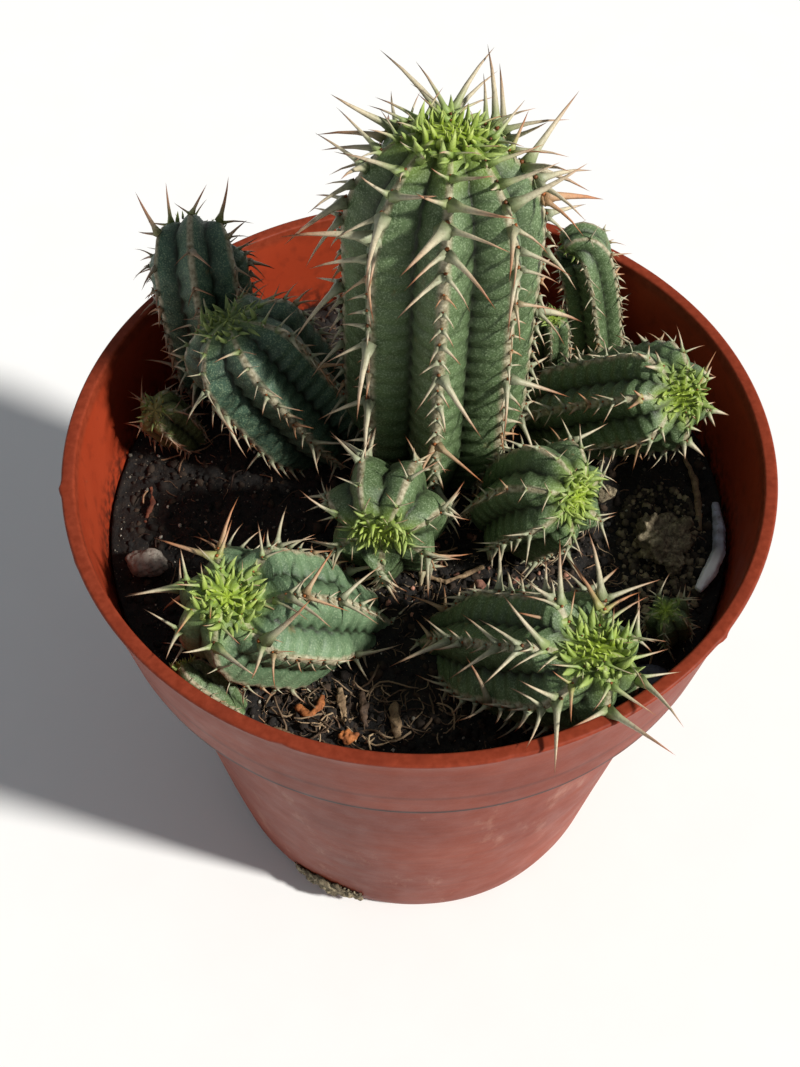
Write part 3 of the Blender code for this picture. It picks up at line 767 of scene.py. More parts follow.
# Each rib's bumps, one for each pair of spines, and the slanting furrows between them.
step = (along / given["Areole Pitch"] + from_crest * 0.42 - stagger).do("FRACT") - 0.5
flank = (from_crest * (1.0 - from_crest)) * 4.0
bump = (step * TURN).do("COSINE")
patches = add(tree, "ShaderNodeTexNoise", {"Scale": 1 / (4 * MM), "Detail": 2.0})
patches = Flow(tree, patches.outputs["Fac"]).span(0.35, 0.6, 0.15, 1.0)
furrow = (0.5 - step.do("ABSOLUTE")).hill(0.08) * flank ** 0.7 * patches
valley = from_crest ** 1.3
cork = from_crest.hill(CREST_WIDTH)
texture = add(tree, "ShaderNodeTexNoise", {"Scale": 1 / (1.4 * MM), "Detail": 3.0})
rough = Flow(tree, texture.outputs["Fac"]) - 0.5
gnarl = add(tree, "ShaderNodeTexNoise", {"Scale": 1 / (0.7 * MM), "Detail": 2.0})
rough_cork = (Flow(tree, gnarl.outputs["Fac"]) - 0.5) * cork

share = (1.0 - given["Rib Depth"] * valley + given["Bump Height"] * bump * (flank * 0.75 + cork * 0.55)
         - given["Furrow Depth"] * furrow + cork * 0.018 + rough_cork * 0.05 + rough * 0.012)
middle = stored(tree, "middle", "FLOAT_VECTOR")
place = Flow(tree, add(tree, "GeometryNodeInputPosition").outputs[0])
spoke = vector_sum(tree, "SUBTRACT", place, middle)
moved = vector_sum(tree, "ADD", middle, vector_sum(tree, "SCALE", spoke, share))
# groove marks the bottom of each valley, where the skin finish paints a near-black line of shade.
body = store(tree, body, "groove", from_crest.span(0.85, 1.0))
body = store(tree, body, "furrow", furrow)
body = store(tree, body, "cork", cork)
body = store(tree, body, "flank", from_crest)
body = Flow(tree, add(tree, "GeometryNodeSetPosition", {"Geometry": body, "Position": moved}).outputs[0])
end_tree(tree, body, given["Skin"])
print("ribbed skin tree:", len(tree.nodes), "nodes")

# %% [markdown]
# ## Skin finish
# The flesh is a waxy grey-green with a fine pale speckle. Shade is painted into the valleys, which turn
# darker and browner down to a near-black line at their bottom, and into the thin furrows. A strip of grey
# cork runs along each crest. The newest growth at the tip is a bright yellow-green, with painted shade at
# the foot of its lobes and in its valleys. All of that is driven by the numbers that the tree stored on
# the skin.

# %% Skin finishes
def skin_finish(name, flesh, shade, young):
    """Waxy stem skin from three colours: the flesh, a dark tone that also paints shade into the valleys, and
    the growing tip.
    """
    material, tree, shader = finish(name, 0.5, Specular_IOR_Level=0.35)
    cloud = grain(tree, 6 * MM, 4)
    dust = grain(tree, 0.28 * MM, 2)
    lighter = tuple(min(1.0, c * 1.38 + 0.01) for c in flesh[:3]) + (1.0,)
    base = blend(tree, cloud.span(0.32, 0.68), flesh, lighter)
    base = blend(tree, grain(tree, 1.6 * MM, 4).span(0.5, 0.72, 0, 0.55), base, shade)
    base = blend(tree, dust.span(0.5, 0.7, 0, 0.6), base, colour(160, 178, 140))
    # Painted shade: darker towards the valleys, in the furrows, and a near-black line down each valley's
    # bottom.
    base = blend(tree, read(tree, "flank").span(0.35, 1.0, 0, 0.7), base, shade)
    base = blend(tree, read(tree, "furrow").span(0.25, 1.0, 0, 0.45), base, shade)
    base = blend(tree, read(tree, "groove") * 0.95, base, colour(26, 32, 16))
    blemish = grain(tree, 5 * MM, 5, roughness=0.7).span(0.64, 0.72, 0, 0.45)
    base = blend(tree, blemish, base, colour(128, 112, 74))
    tip = read(tree, "young")
    # Painted shade: the young growth is darker towards its valleys and at the foot of each rosette lobe.
    fresh = blend(tree, read(tree, "flank").span(0.1, 0.9), young, dimmed(young, 0.42))
    fresh = blend(tree, read(tree, "pale").span(0.3, 0.9), fresh, colour(184, 196, 112))
    fresh = blend(tree, read(tree, "fade").span(0.45, 1.0, 0, 0.65), fresh, colour(128, 148, 92))
    base = blend(tree, tip, base, fresh)
    bark = blend(tree, grain(tree, 0.8 * MM, 4).span(0.35, 0.65), colour(196, 186, 158),
                 colour(120, 106, 80))
    base = blend(tree, read(tree, "cork").span(0.25, 0.75) * (1.0 - tip * 0.8) * 0.85, base, bark)
    coat(tree, shader, base, dust * 0.5 + grain(tree, 0.8 * MM, 4) * 0.7 + grain(tree, 2.2 * MM, 3) * 1.2,
         0.17 * MM,
         grain(tree, 1.5 * MM, 3).span(0.3, 0.7, 0.42, 0.62))
    return material


YOUNG = colour(154, 180, 44)
grey_green = skin_finish("grey_green_skin", colour(78, 98, 61), colour(38, 54, 28), YOUNG)
# A darker, bluer copy of the skin: painted shade for the left and back-left stems, which stand in shadow.
shaded_blue_green = skin_finish("blue_green_skin", colour(66, 92, 74), colour(28, 44, 34), colour(120, 138, 66))
pale_green = skin_finish("pale_green_skin", colour(96, 120, 88), colour(50, 74, 48), YOUNG)
dull_green = skin_finish("dull_green_skin", colour(108, 116, 66), colour(58, 56, 34), colour(150, 140, 66))
SKINS = {"back_left_stem": shaded_blue_green, "left_stem": shaded_blue_green, "front_left_stem": pale_green,
         "left_offset": dull_green}

# %% Make the skins
PITCH = {"main_stem": 3.3 * MM, "back_left_stem": 2.6 * MM, "left_stem": 2.8 * MM,
         "back_right_stem": 2.4 * MM, "left_offset": 2.1 * MM, "back_right_offset": 1.9 * MM,
         "front_left_offset": 1.9 * MM, "front_right_offset": 1.9 * MM}
USUAL_PITCH = 3.0 * MM
WALL_GAP = 0.4 * MM


def keep_inside_wall(mesh):
    """Presses any skin that would run into the pot's wall flat against it."""
    place = np.array([v.co for v in mesh.vertices])
    z, rho = place[:, 2], np.hypot(place[:, 0], place[:, 1])
    limit = np.where(z < LEDGE_Z, body_outside(z) - WALL, collar_inside(z)) - WALL_GAP
    shrink = np.where(z < POT_HEIGHT + MM, np.minimum(1, limit / np.maximum(rho, MM)), 1)
    place[:, :2] *= shrink[:, None]
    mesh.vertices.foreach_set("co", place.astype(np.float32).ravel())
    mesh.update()


COLUMN_WIDTH = 0.5 * MM
BUMPS = {"right_stem": 0.040, "right_centre_stem": 0.026, "main_stem": 0.011}
skins = {}
for node, path in paths.items():
    count = len(path["crest"])
    line_mesh = bpy.data.meshes.new(node + "_line")
    line_mesh.from_pydata([tuple(p) for p in path["middle"]], [(k, k + 1) for k in range(count - 1)], [])
    thick = path["crest"].max()
    young = np.clip(1 - path["left"] / (0.80 * thick), 0, 1)
    for label, values in (("crest_radius", path["crest"]), ("side", path["side"]), ("along", path["along"]),
                          ("middle", path["middle"]), ("young", young)):
        add_attribute(line_mesh, label, values)
    holder = in_scene(node + "_line", line_mesh)
    per_rib = max(12, round(TURN * thick / path["ribs"] / COLUMN_WIDTH / 2) * 2)
    rounded = node in ("front_left_stem", "front_left_offset")
    skins[node] = run_tree(holder, skin_tree, node + "_skin", {
        "Ribs": float(path["ribs"]), "Columns": per_rib * path["ribs"],
        "Rib Depth": 0.20 if rounded else 0.25,
        "Areole Pitch": PITCH.get(node, USUAL_PITCH), "Bump Height": BUMPS.get(node, 0.018),
        "Furrow Depth": 0.015,
        "Zigzag": 0.07 if node == "main_stem" else 0.16, "Skin": SKINS.get(node, grey_green)})
    keep_inside_wall(skins[node].data)
    outward(skins[node].data)
    print(node, "skin:", len(skins[node].data.polygons), "faces")

# %% [markdown]
# ## Spines
# Spines come in pairs, side by side, from a small horny shield on the crest, with a brown bud scar just
# above. Most pairs are short and hooked down; every few steps a stout pair stands out, and the youngest
# pairs round the tip are long and thin. Hundreds are needed, so a handful of simple pairs are modelled
# once, each one unit long, and a node tree sets them on the crests. Each pair stands on a point that
# knows which way is out and which way is up the stem.

# %% Spine pairs
HORN_SIDES = 5
variants = bpy.data.collections.new("spine_pairs")


def horn(base, way, thick, steps=4):
    """One tapering spine: points, faces, and how far along it each point is."""
    way = unit(way)
    points, faces, share = [], [], []
    across = unit(np.cross(way, (0.3, 0.9, 0.2)))
    over = np.cross(way, across)
    for k in range(steps):
        t = (k / steps) ** 1.3
        middle = np.asarray(base) + way * t
        width = thick * ((1 - t) ** 0.85 + 0.9 * max(0.0, 1 - 4 * t) ** 2)
        for s in range(HORN_SIDES):
            a = TURN * s / HORN_SIDES
            points.append(middle + width * (across * math.cos(a) + over * math.sin(a)))
            share.append(t)
    points.append(np.asarray(base) + way)
    share.append(1.0)
    for k in range(steps - 1):
        for s in range(HORN_SIDES):
            a, b = k * HORN_SIDES + s, k * HORN_SIDES + (s + 1) % HORN_SIDES
            faces.append((a, b, b + HORN_SIDES, a + HORN_SIDES))
    tip = steps * HORN_SIDES
    faces += [(tip - HORN_SIDES + s, tip - HORN_SIDES + (s + 1) % HORN_SIDES, tip)
              for s in range(HORN_SIDES)]
    faces.append(tuple(reversed(range(HORN_SIDES))))
    return points, faces, share


def knob(middle, half, mark, points, faces, share):
    """Adds a small six-sided lump to a growing mesh; mark is what its points say in place of along."""
    first = len(points)
    for k in range(6):
        a = TURN * k / 6
        points.append(np.add(middle, (half[0] * math.cos(a), half[1] * math.sin(a), 0)))
    points += [np.add(middle, (0, 0, half[2])), np.add(middle, (0, 0, -half[2]))]
    faces += [(first + k, first + (k + 1) % 6, first + 6) for k in range(6)]
    faces += [(first + (k + 1) % 6, first + k, first + 7) for k in range(6)]
    share += [mark] * 8


def spine_pair(order, splay, drop, hook, thick, shield, uneven=0.1, curl=-0.08):
    """One pair as a mesh one unit long: x is across the crest, y up the stem and z straight out."""
    points, faces, share = [], [], []
    for hand, length in ((-1, 1 - uneven), (1, 1 + uneven)):
        more, rings, parts = horn((hand * shield * 0.35, 0, shield * 0.1), (hand * splay, -drop, 1.0),
                                  thick)
        more = [np.multiply(p, length) + np.array((hand * curl, -hook, -0.10)) * t * t
                for p, t in zip(more, parts)]
        first = len(points)
        points += more
        faces += [tuple(first + k for k in face) for face in rings]
        share += parts
    knob((0, 0, 0), (shield * 1.25, shield * 0.80, shield * 0.50), 0.0, points, faces, share)
    knob((0, shield * 0.72, shield * 0.18), (shield * 0.36, shield * 0.34, shield * 0.34), -1.0, points,
         faces, share)
    keep_variant(variants, f"pair_{order}", points, faces, along=share)


# which pairs are small, stout, fresh and club-shaped
SMALL, STOUT, FRESH, CLUB = (0, 1, 2), (3, 4, 5), (6, 7, 8), (9, 10)
# splay, drop, hook, thickness, shield, and then unevenness and curl where they differ from the usual
PAIRS = (
    (1.05, 0.40, 0.30, 0.100, 0.24),
    (0.85, 0.60, 0.38, 0.105, 0.23, 0.25),
    (1.30, 0.20, 0.28, 0.092, 0.25, -0.2),
    (0.85, 0.40, 0.26, 0.056, 0.125, 0.10, 0.05),
    (0.65, 0.60, 0.18, 0.060, 0.12, 0.28, 0.10),
    (1.05, 0.35, 0.24, 0.054, 0.13, -0.22, -0.05),
    (0.75, 0.05, 0.10, 0.050, 0.11, 0.12, 0.10),
    (1.00, 0.15, -0.08, 0.048, 0.10, 0.22, -0.10),
    (0.55, 0.15, 0.16, 0.052, 0.11, -0.25, 0.16),
    (0.50, 0.05, 0.04, 0.135, 0.24),
    (0.75, 0.20, 0.10, 0.125, 0.26, 0.15),
)
for order, numbers in enumerate(PAIRS):
    spine_pair(order, *numbers)

# %% A tree that sets pieces on points
placing_tree, given = new_tree("pieces on points", {
    "Pieces": "Collection", "Twist": "Float", "Size Spread": "Float", "Seed": "Int", "Finish": "Material"})
tree = placing_tree


def random_value(tree, low, high, seed):
    """A number between low and high for each point."""
    node = add(tree, "FunctionNodeRandomValue", {2: low, 3: high, "Seed": seed}, data_type="FLOAT")
    return Flow(tree, node.outputs[1])


def aligned(tree, axis, way, rotation=None, pivot="AUTO"):
    """A rotation that turns one axis to a direction."""
    node = add(tree, "FunctionNodeAlignRotationToVector", {"Vector": way}, axis=axis, pivot_axis=pivot)
    if rotation is not None:
        plug(tree, rotation, node.inputs["Rotation"])
    return Flow(tree, node.outputs[0])


def set_pieces(tree, given, points, kind, rotation, scale):
    """Sets the collection's pieces on points, each with a tone of its own, and ends the tree."""
    choice = add(tree, "GeometryNodeCollectionInfo",
                 {"Collection": given["Pieces"], "Separate Children": True, "Reset Children": True})
    copies = add(tree, "GeometryNodeInstanceOnPoints", {
        "Points": points, "Instance": Flow(tree, choice.outputs[0]), "Pick Instance": True,
        "Instance Index": kind, "Rotation": rotation, "Scale": scale})
    marked = add(tree, "GeometryNodeStoreNamedAttribute", {
        "Geometry": Flow(tree, copies.outputs[0]), "Name": "tone",
        "Value": random_value(tree, 0.0, 1.0, given["Seed"] + 2.0)}, data_type="FLOAT", domain="INSTANCE")
    end_tree(tree, Flow(tree, marked.outputs[0]), given["Finish"])


stand = aligned(tree, "Z", stored(tree, "out", "FLOAT_VECTOR"))
stand = aligned(tree, "Y", stored(tree, "upward", "FLOAT_VECTOR"), stand, "Z")
twist = add(tree, "FunctionNodeAxisAngleToRotation",
            {"Axis": (0, 0, 1), "Angle": random_value(tree, -1.0, 1.0, given["Seed"]) * given["Twist"]})
stand = Flow(tree, add(tree, "FunctionNodeRotateRotation", {0: stand, 1: Flow(tree, twist.outputs[0])},
                       rotation_space="LOCAL").outputs[0])
bigger = random_value(tree, -1.0, 1.0, given["Seed"] + 1.0) * given["Size Spread"] + 1.0
set_pieces(tree, given, given["Geometry"], stored(tree, "kind"), stand, stored(tree, "size") * bigger)
print("placing tree:", len(tree.nodes), "nodes")

# %% [markdown]
# ## Spine finish
# A spine is dead, horny tissue: grey-cream at its base, tan along its length and orange-brown towards
# the tip, and no two quite alike. Each pair carries one random tone, and each point knows how far along
# the spine it is.

# %% Spine finish
def spine_finish(name, base, middle, tip):
    """Horn that changes colour along its length, with a brown bud scar where along is under nought."""
    material, tree, shader = finish(name, 0.48, Specular_IOR_Level=0.4)
    along, tone = read(tree, "along"), read(tree, "tone")
    horn_colour = blend(tree, along.span(0.05, 0.45), base, middle)
    horn_colour = blend(tree, (along + tone * 0.40).span(0.62, 1.15), horn_colour, tip)
    horn_colour = blend(tree, tone.span(0.78, 1.0, 0, 0.6), horn_colour, colour(190, 128, 84))
    horn_colour = blend(tree, grain(tree, 0.5 * MM, 3).span(0.5, 0.75, 0, 0.45), horn_colour,
                        colour(104, 92, 70))
    horn_colour = blend(tree, (read(tree, "fresh") - along * 1.2).span(0.0, 0.7), horn_colour,
                        colour(134, 158, 78))
    scar = blend(tree, tone, colour(92, 54, 26), colour(150, 84, 34))
    horn_colour = blend(tree, (along * -1.0).span(0.0, 0.3), horn_colour, scar)
    coat(tree, shader, horn_colour, grain(tree, 0.25 * MM, 3), 0.05 * MM)
    return material


horn_pale = spine_finish("grey_horn", colour(146, 152, 122), colour(194, 182, 154), colour(156, 96, 62))
horn_dark = spine_finish("brown_horn", colour(150, 140, 118), colour(168, 128, 100), colour(112, 56, 36))
SPINE_FINISH = {"back_left_stem": horn_dark, "left_offset": horn_dark}

# %% [markdown]
# ## Where the spines stand
# A pair sits at the middle of every bump, on the crest. The same numbers that shape the skin say where
# that is: the rib's stagger, the pitch along the stem, the crest radius and the direction of each
# crest. Near the tip the pairs lean up and grow long, and the last few bumps belong to the green
# rosette.

# %% Set the spines
# short pair, stout pair and tip pair in millimetres, one stout pair in how many, and the tilt of the
# tip pairs
SPINE_SIZES = {
    "main_stem": (2.9, 9.0, 11.5, 4, 0.95), "left_stem": (2.7, 5.4, 5.4, 4, 0.7),
    "centre_front_stem": (2.4, 5.6, 5.6, 4, 0.35), "right_centre_stem": (2.4, 4.6, 4.8, 4, 0.35),
    "front_left_stem": (2.3, 6.0, 10.0, 5, 0.45), "front_right_stem": (2.8, 7.0, 10.5, 4, 0.45),
    "right_stem": (2.3, 3.8, 3.8, 5, 0.4), "back_left_stem": (2.6, 5.2, 7.0, 4, 0.5),
    "back_right_stem": (1.8, 2.8, 3.0, 5, 0.5), "back_right_offset": (1.3, 2.0, 2.2, 5, 0.5),
    "left_offset": (1.8, 3.0, 4.2, 4, 0.4), "front_left_offset": (1.2, 2.0, 2.0, 5, 0.4),
    "front_right_offset": (1.5, 2.6, 3.4, 4, 0.4)}
CLUB_STEMS = ("right_stem", "back_right_stem")
# how near the tip, in thicknesses, the tip pairs and the crowded stout pairs stand
TIP_ZONE, STOUT_ZONE = 1.0, 1.6
# a pair that meets the wall is lifted up to so many times, then shortened, and left out below the
# shortest (in mm)
LIFTS, LIFT, SHORTER, SHORTEST, SWEEP = 5, 0.2, 0.8, 0.8, 1.3
stem_spines = {}


def at(path, place, values):
    """A path's values at one distance along it."""
    return np.array([np.interp(place, path["along"], column) for column in np.atleast_2d(values.T)])


def frame_at(path, place, turn):
    """Middle, crest radius, direction of travel and spoke at a distance along a path and a turn round it."""
    ahead = unit(at(path, place, path["ahead"]))
    side = unit(at(path, place, path["side"]))
    spoke = math.cos(turn) * side + math.sin(turn) * np.cross(ahead, side)
    return at(path, place, path["middle"]), at(path, place, path["crest"])[0], ahead, unit(spoke)


def runs_into_wall(base, out, climb, size):
    """Whether either spine of a pair would go through the pot's wall; passing over the brim is allowed."""
    across = np.cross(climb, out)
    for hand in (-1.1, -0.6, 0.0, 0.6, 1.1):
        reach = np.linspace(0.2, 1.0, 12)[:, None]
        points = base + size * (reach * (out + hand * across - 0.3 * climb) - reach ** 2 * 0.2 * climb)
        rho, z = np.hypot(points[:, 0], points[:, 1]), points[:, 2]
        if ((rho > collar_inside(z) - 0.7 * MM) & (rho < RIM + 0.5 * MM) & (z < POT_HEIGHT + 0.8
                                                                            * MM)).any():
            return True
    return False


for order, node in enumerate(STEMS):
    path, rng = paths[node], np.random.default_rng(40 + order)
    short, stout, fresh, every, tilt = SPINE_SIZES[node]
    pitch = PITCH.get(node, USUAL_PITCH)
    thick, length = path["crest"].max(), path["along"][-1]
    spots = []
    for rib in range(path["ribs"]):
        stagger = rib * RIB_STAGGER % 1
        turn = TURN * rib / path["ribs"]
        step, since = 0, int(rng.integers(every))
        while (step + 0.5 + stagger) * pitch < length - 0.22 * thick:
            place = (step + 0.5 + stagger) * pitch
            step, since = step + 1, since + 1
            middle, radius, ahead, spoke = frame_at(path, place, turn)
            if middle[2] < SOIL_HIGH - 3 * MM:
                continue
            later = frame_at(path, min(place + 0.4 * MM, length), turn)
            climb = unit(later[0] + later[1] * later[3] - middle - radius * spoke)
            out = unit(spoke - np.dot(spoke, climb) * climb)
            left = (length - place) / thick
            if left < TIP_ZONE:
                kind = rng.choice(CLUB if node in CLUB_STEMS and rng.random() < 0.6 else FRESH)
                size = fresh * (0.25 + 0.75 * min(1.0, left * 1.25)) * rng.uniform(0.55, 1.12)
                out, climb = unit(spoke + tilt * ahead + 0.12 * rng.normal(size=3)), ahead
            elif (since >= every or left < STOUT_ZONE) and rng.random() < 0.75:
                since, kind = 0, rng.choice(STOUT)
                size = stout * rng.uniform(0.6, 1.2)
            else:
                kind = rng.choice(CLUB if node in CLUB_STEMS and rng.random() < 0.5 else SMALL)
                size = short * rng.uniform(0.7, 1.25)
            base = middle + spoke * radius * 1.02
            out = unit(out + 0.10 * rng.normal(size=3))
            for _ in range(LIFTS):
                if runs_into_wall(base, out, climb, size * SWEEP * MM):
                    out = unit(out + (0, 0, LIFT))
            while size > SHORTEST and runs_into_wall(base, out, climb, size * SWEEP * MM):
                size *= SHORTER
            if size <= SHORTEST and runs_into_wall(base, out, climb, size * SWEEP * MM):
                continue
            spots.append((base, out, climb, size * MM, float(kind), max(0.0, 1.15 - left)))
    points, outs, ups, sizes, kinds, fresh_share = (np.array(c) for c in zip(*spots))
    holder = mesh_piece(node + "_spots", points, [], out=outs, upward=ups, size=sizes, kind=kinds,
                        fresh=fresh_share)
    stem_spines[node] = run_tree(holder, placing_tree, node + "_spines", {
        "Pieces": variants, "Twist": 0.35, "Size Spread": 0.1, "Seed": order,
        "Finish": SPINE_FINISH.get(node, horn_pale)})
    stem_spines[node].data.shade_smooth()
    print(node, "spine pairs:", len(spots), "faces:", len(stem_spines[node].data.polygons))

# %% [markdown]
# ## Rosettes at the tips
# The growing tip is a rosette of soft green tubercles, tiny at the middle and finger-like further out,
# packed in the golden spiral that plants use. They are set by the same tree as the spines, from three
# modelled lobes, and then joined with the skin, because on the plant they are the same tissue.

# %% Lobes
lobes = bpy.data.collections.new("rosette_lobes")


def lobe(order, width, lean, blunt):
    """One finger of the rosette, a unit long, leaning over towards its tip."""
    points, faces, flank, pale = [], [], [], []
    rings, sides = 4, 6
    for k in range(rings):
        t = k / rings
        reach = width * (0.85 + 0.35 * math.sin(math.pi * min(1, t * 1.3))) * (1 - t) ** blunt
        for s in range(sides):
            a = TURN * s / sides
            points.append((reach * math.cos(a), reach * 0.8 * math.sin(a) + lean * t * t, t - 0.1))
            flank.append(0.9 * (1 - t))
            pale.append(0.9 * t)
    points.append((0, lean, 0.9))
    flank.append(0.0)
    pale.append(1.0)
    for k in range(rings - 1):
        for s in range(sides):
            a, b = k * sides + s, k * sides + (s + 1) % sides
            faces.append((a, b, b + sides, a + sides))
    last = (rings - 1) * sides
    faces += [(last + s, last + (s + 1) % sides, last + sides) for s in range(sides)]
    faces.append(tuple(reversed(range(sides))))
    # flank is highest at a lobe's foot, where the skin finish paints shade.
    keep_variant(lobes, f"lobe_{order}", points, faces, flank=flank, pale=pale, young=[1.0] * len(points))


for order, sizes in enumerate(((0.18, 0.42, 0.42), (0.21, 0.62, 0.38), (0.16, -0.40, 0.46))):
    lobe(order, *sizes)

# %% Set the rosettes
# how far the rosette reaches as a share of the stem's thickness, its lobes, and the longest lobe in
# millimetres
ROSETTES = {"main_stem": (0.42, 74, 3.4), "front_left_stem": (0.46, 66, 3.3),
            "front_right_stem": (0.46, 68, 3.3),
            "centre_front_stem": (0.46, 58, 2.7), "right_centre_stem": (0.45, 56, 2.6),
            "right_stem": (0.42, 54, 2.4),
            "left_stem": (0.44, 52, 2.5), "back_left_stem": (0.88, 90, 2.5)}
USUAL_ROSETTE = (0.55, 28, 1.4)


def join(pieces, name):
    """Joins pieces into the first one, under a new name."""
    with bpy.context.temp_override(active_object=pieces[0], selected_editable_objects=pieces,
                                   selected_objects=pieces, object=pieces[0]):
        bpy.ops.object.join()
    pieces[0].name = pieces[0].data.name = name
    return pieces[0]


for order, node in enumerate(STEMS):
    path, rng = paths[node], np.random.default_rng(90 + order)
    reach, number, longest = ROSETTES.get(node, USUAL_ROSETTE)
    thick, length = path["crest"].max(), path["along"][-1]
    spots = []
    for k in range(number):
        share = math.sqrt((k + 0.6) / number)
        rho = reach * thick * share
        # in the widest rosette this rule has two answers, and some lobes come to lie at the stem's foot
        dome = path["crest"][::-1] * 0.93
        place = length - np.interp(rho, dome, path["left"][::-1])
        middle, radius, ahead, spoke = frame_at(path, place, k * GOLDEN_ANGLE)
        way = unit(ahead * (1.1 - 0.65 * share) + spoke * (0.1 + 0.8 * share ** 1.3) + 0.32
                   * rng.normal(size=3))
        size = longest * (0.34 + 0.66 * share) * rng.uniform(0.6, 1.3)
        spots.append((middle + spoke * rho - ahead * 0.15 * size * MM, way, ahead, size * MM,
                      float(rng.integers(3)),
                      share))
    points, outs, ups, sizes, kinds, shares = (np.array(c) for c in zip(*spots))
    holder = mesh_piece(node + "_buds", points, [], out=outs, upward=ups, size=sizes, kind=kinds,
                        fade=shares)
    rosette = run_tree(holder, placing_tree, node + "_rosette", {
        "Pieces": lobes, "Twist": 0.9, "Size Spread": 0.15, "Seed": 60 + order,
        "Finish": SKINS.get(node, grey_green)})
    rosette.data.shade_smooth()
    join([skins[node], rosette], node + "_skin")
    hand_over(skins[node], "stem_skin", node)
    hand_over(stem_spines[node], "stem_skin", node)
drop_variants(variants, lobes)

# %% [markdown]
# ## Crumbs, specks and fibres
# Peat never lies smooth: it breaks into crumbs, with pale specks of perlite dust and torn fibres
# between them. They are scattered over the top of the soil by one node tree, which picks among a few
# simple shapes, turns each one about and gives it its own size. The shapes have only a couple of dozen
# faces, because there are thousands of them.

# %% A tree that scatters pieces over a surface
scatter_tree, given = new_tree("scatter over soil", {
    "Pieces": "Collection", "Number per Square Metre": "Float", "Smallest": "Float", "Largest": "Float",
    "Sink": "Float", "Tumble": "Float", "Seed": "Int", "Finish": "Material"})
tree = scatter_tree
normal = Flow(tree, add(tree, "GeometryNodeInputNormal").outputs[0])
facing = Flow(tree, add(tree, "ShaderNodeSeparateXYZ", {0: normal}).outputs[2])
here = add(tree, "ShaderNodeSeparateXYZ",
           {0: Flow(tree, add(tree, "GeometryNodeInputPosition").outputs[0])})
east, north, height_now = (Flow(tree, here.outputs[k]) for k in range(3))
from_wall = SOIL_EDGE - (east ** 2.0 + north ** 2.0) ** 0.5
is_top = (height_now - (LEDGE_Z + MM)).do("GREATER_THAN", 0.0) * (facing - 0.2).do("GREATER_THAN", 0.0)
is_top = is_top * (from_wall - given["Largest"] * 0.6).do("GREATER_THAN", 0.0)
spread = add(tree, "GeometryNodeDistributePointsOnFaces", {
    "Mesh": given["Geometry"], "Selection": is_top, "Density": given["Number per Square Metre"],
    "Seed": given["Seed"]}, distribute_method="RANDOM")
tumble = add(tree, "FunctionNodeRandomValue", {0: (-1, -1, -1), 1: (1, 1, 1), "Seed": given["Seed"] + 3.0},
             data_type="FLOAT_VECTOR")
tumbled = vector_sum(tree, "SCALE", Flow(tree, tumble.outputs[0]), given["Tumble"])
turned_about = add(tree, "ShaderNodeCombineXYZ", {2: random_value(tree, 0.0, TURN, given["Seed"] + 5.0)})
turned_about = vector_sum(tree, "ADD", tumbled, Flow(tree, turned_about.outputs[0]))
size = random_value(tree, 0.0, 1.0, given["Seed"] + 7.0) ** 2.2
size = given["Smallest"] + (given["Largest"] - given["Smallest"]) * size
sunk = add(tree, "ShaderNodeCombineXYZ", {2: size * given["Sink"] * -1.0})
lowered = add(tree, "GeometryNodeSetPosition", {"Geometry": Flow(tree, spread.outputs[0]),
                                                "Offset": Flow(tree, sunk.outputs[0])})
set_pieces(tree, given, Flow(tree, lowered.outputs[0]),
           random_value(tree, 0.0, 5.99, given["Seed"] + 9.0).do("FLOOR"), turned_about, size)
print("scatter tree:", len(tree.nodes), "nodes")

# %% Crumbs and fibres, one unit across
crumbs = bpy.data.collections.new("crumbs")
fibres = bpy.data.collections.new("fibres")
rng = np.random.default_rng(7)
for k in range(6):
    work = bmesh.new()
    if k < 4:
        bmesh.ops.create_cube(work, size=0.7)
        bmesh.ops.subdivide_edges(work, edges=work.edges, cuts=1, use_grid_fill=True, smooth=0.6)
    else:
        bmesh.ops.create_icosphere(work, subdivisions=1, radius=0.5)
    places = [np.array(v.co) * rng.uniform(0.65, 1.2) * (1, rng.uniform(0.8, 1.1), 0.8) for v in work.verts]
    work.verts.index_update()
    keep_variant(crumbs, f"crumb_{k}", places, [tuple(v.index for v in f.verts) for f in work.faces])
    work.free()
for k in range(6):
    bend, wave = rng.uniform(-0.5, 0.5), rng.uniform(-0.25, 0.25)
    points, sides, steps = [], 4, 7
    for s in range(steps):
        t = s / (steps - 1)
        middle = np.array((t - 0.5, bend * (t - 0.5) ** 2 + wave * math.sin(5 * t),
                           0.05 * math.sin(4 * t + k)))
        for c in range(sides):
            a = TURN * c / sides
            points.append(middle + (0.030 - 0.012 * t)
                          * np.array((0.2 * math.sin(a), math.cos(a), math.sin(a))))
    faces = [(s * sides + c, s * sides + (c + 1) % sides, (s + 1) * sides + (c + 1) % sides,
              (s + 1) * sides + c)
             for s in range(steps - 1) for c in range(sides)]
    faces += [tuple(range(sides)), tuple(range((steps - 1) * sides, steps * sides))]
    keep_variant(fibres, f"fibre_{k}", points, faces)


# %% Their finishes
def crumb_finish(name, dark, light, share, roughness=0.9):
    """Loose bits between two colours, each bit with its own tone."""
    material, tree, shader = finish(name, roughness)
    tone = read(tree, "tone")
    base = blend(tree, tone ** 2.5 * share, dark, light)
    base = blend(tree, grain(tree, 0.7 * MM, 4).span(0.45, 0.75, 0, 0.6), base, dimmed(light, 0.35))
    coat(tree, shader, base, grain(tree, 0.3 * MM, 3), 0.15 * MM)
    return material


crumb_brown = crumb_finish("peat_crumb_brown", colour(15, 12, 10), colour(68, 52, 38), 1.0)
speck_pale = crumb_finish("pale_speck", colour(70, 64, 54), colour(206, 200, 184), 1.0)
fibre_red = crumb_finish("dry_fibre", colour(52, 32, 24), colour(178, 138, 104), 1.0, 0.8)
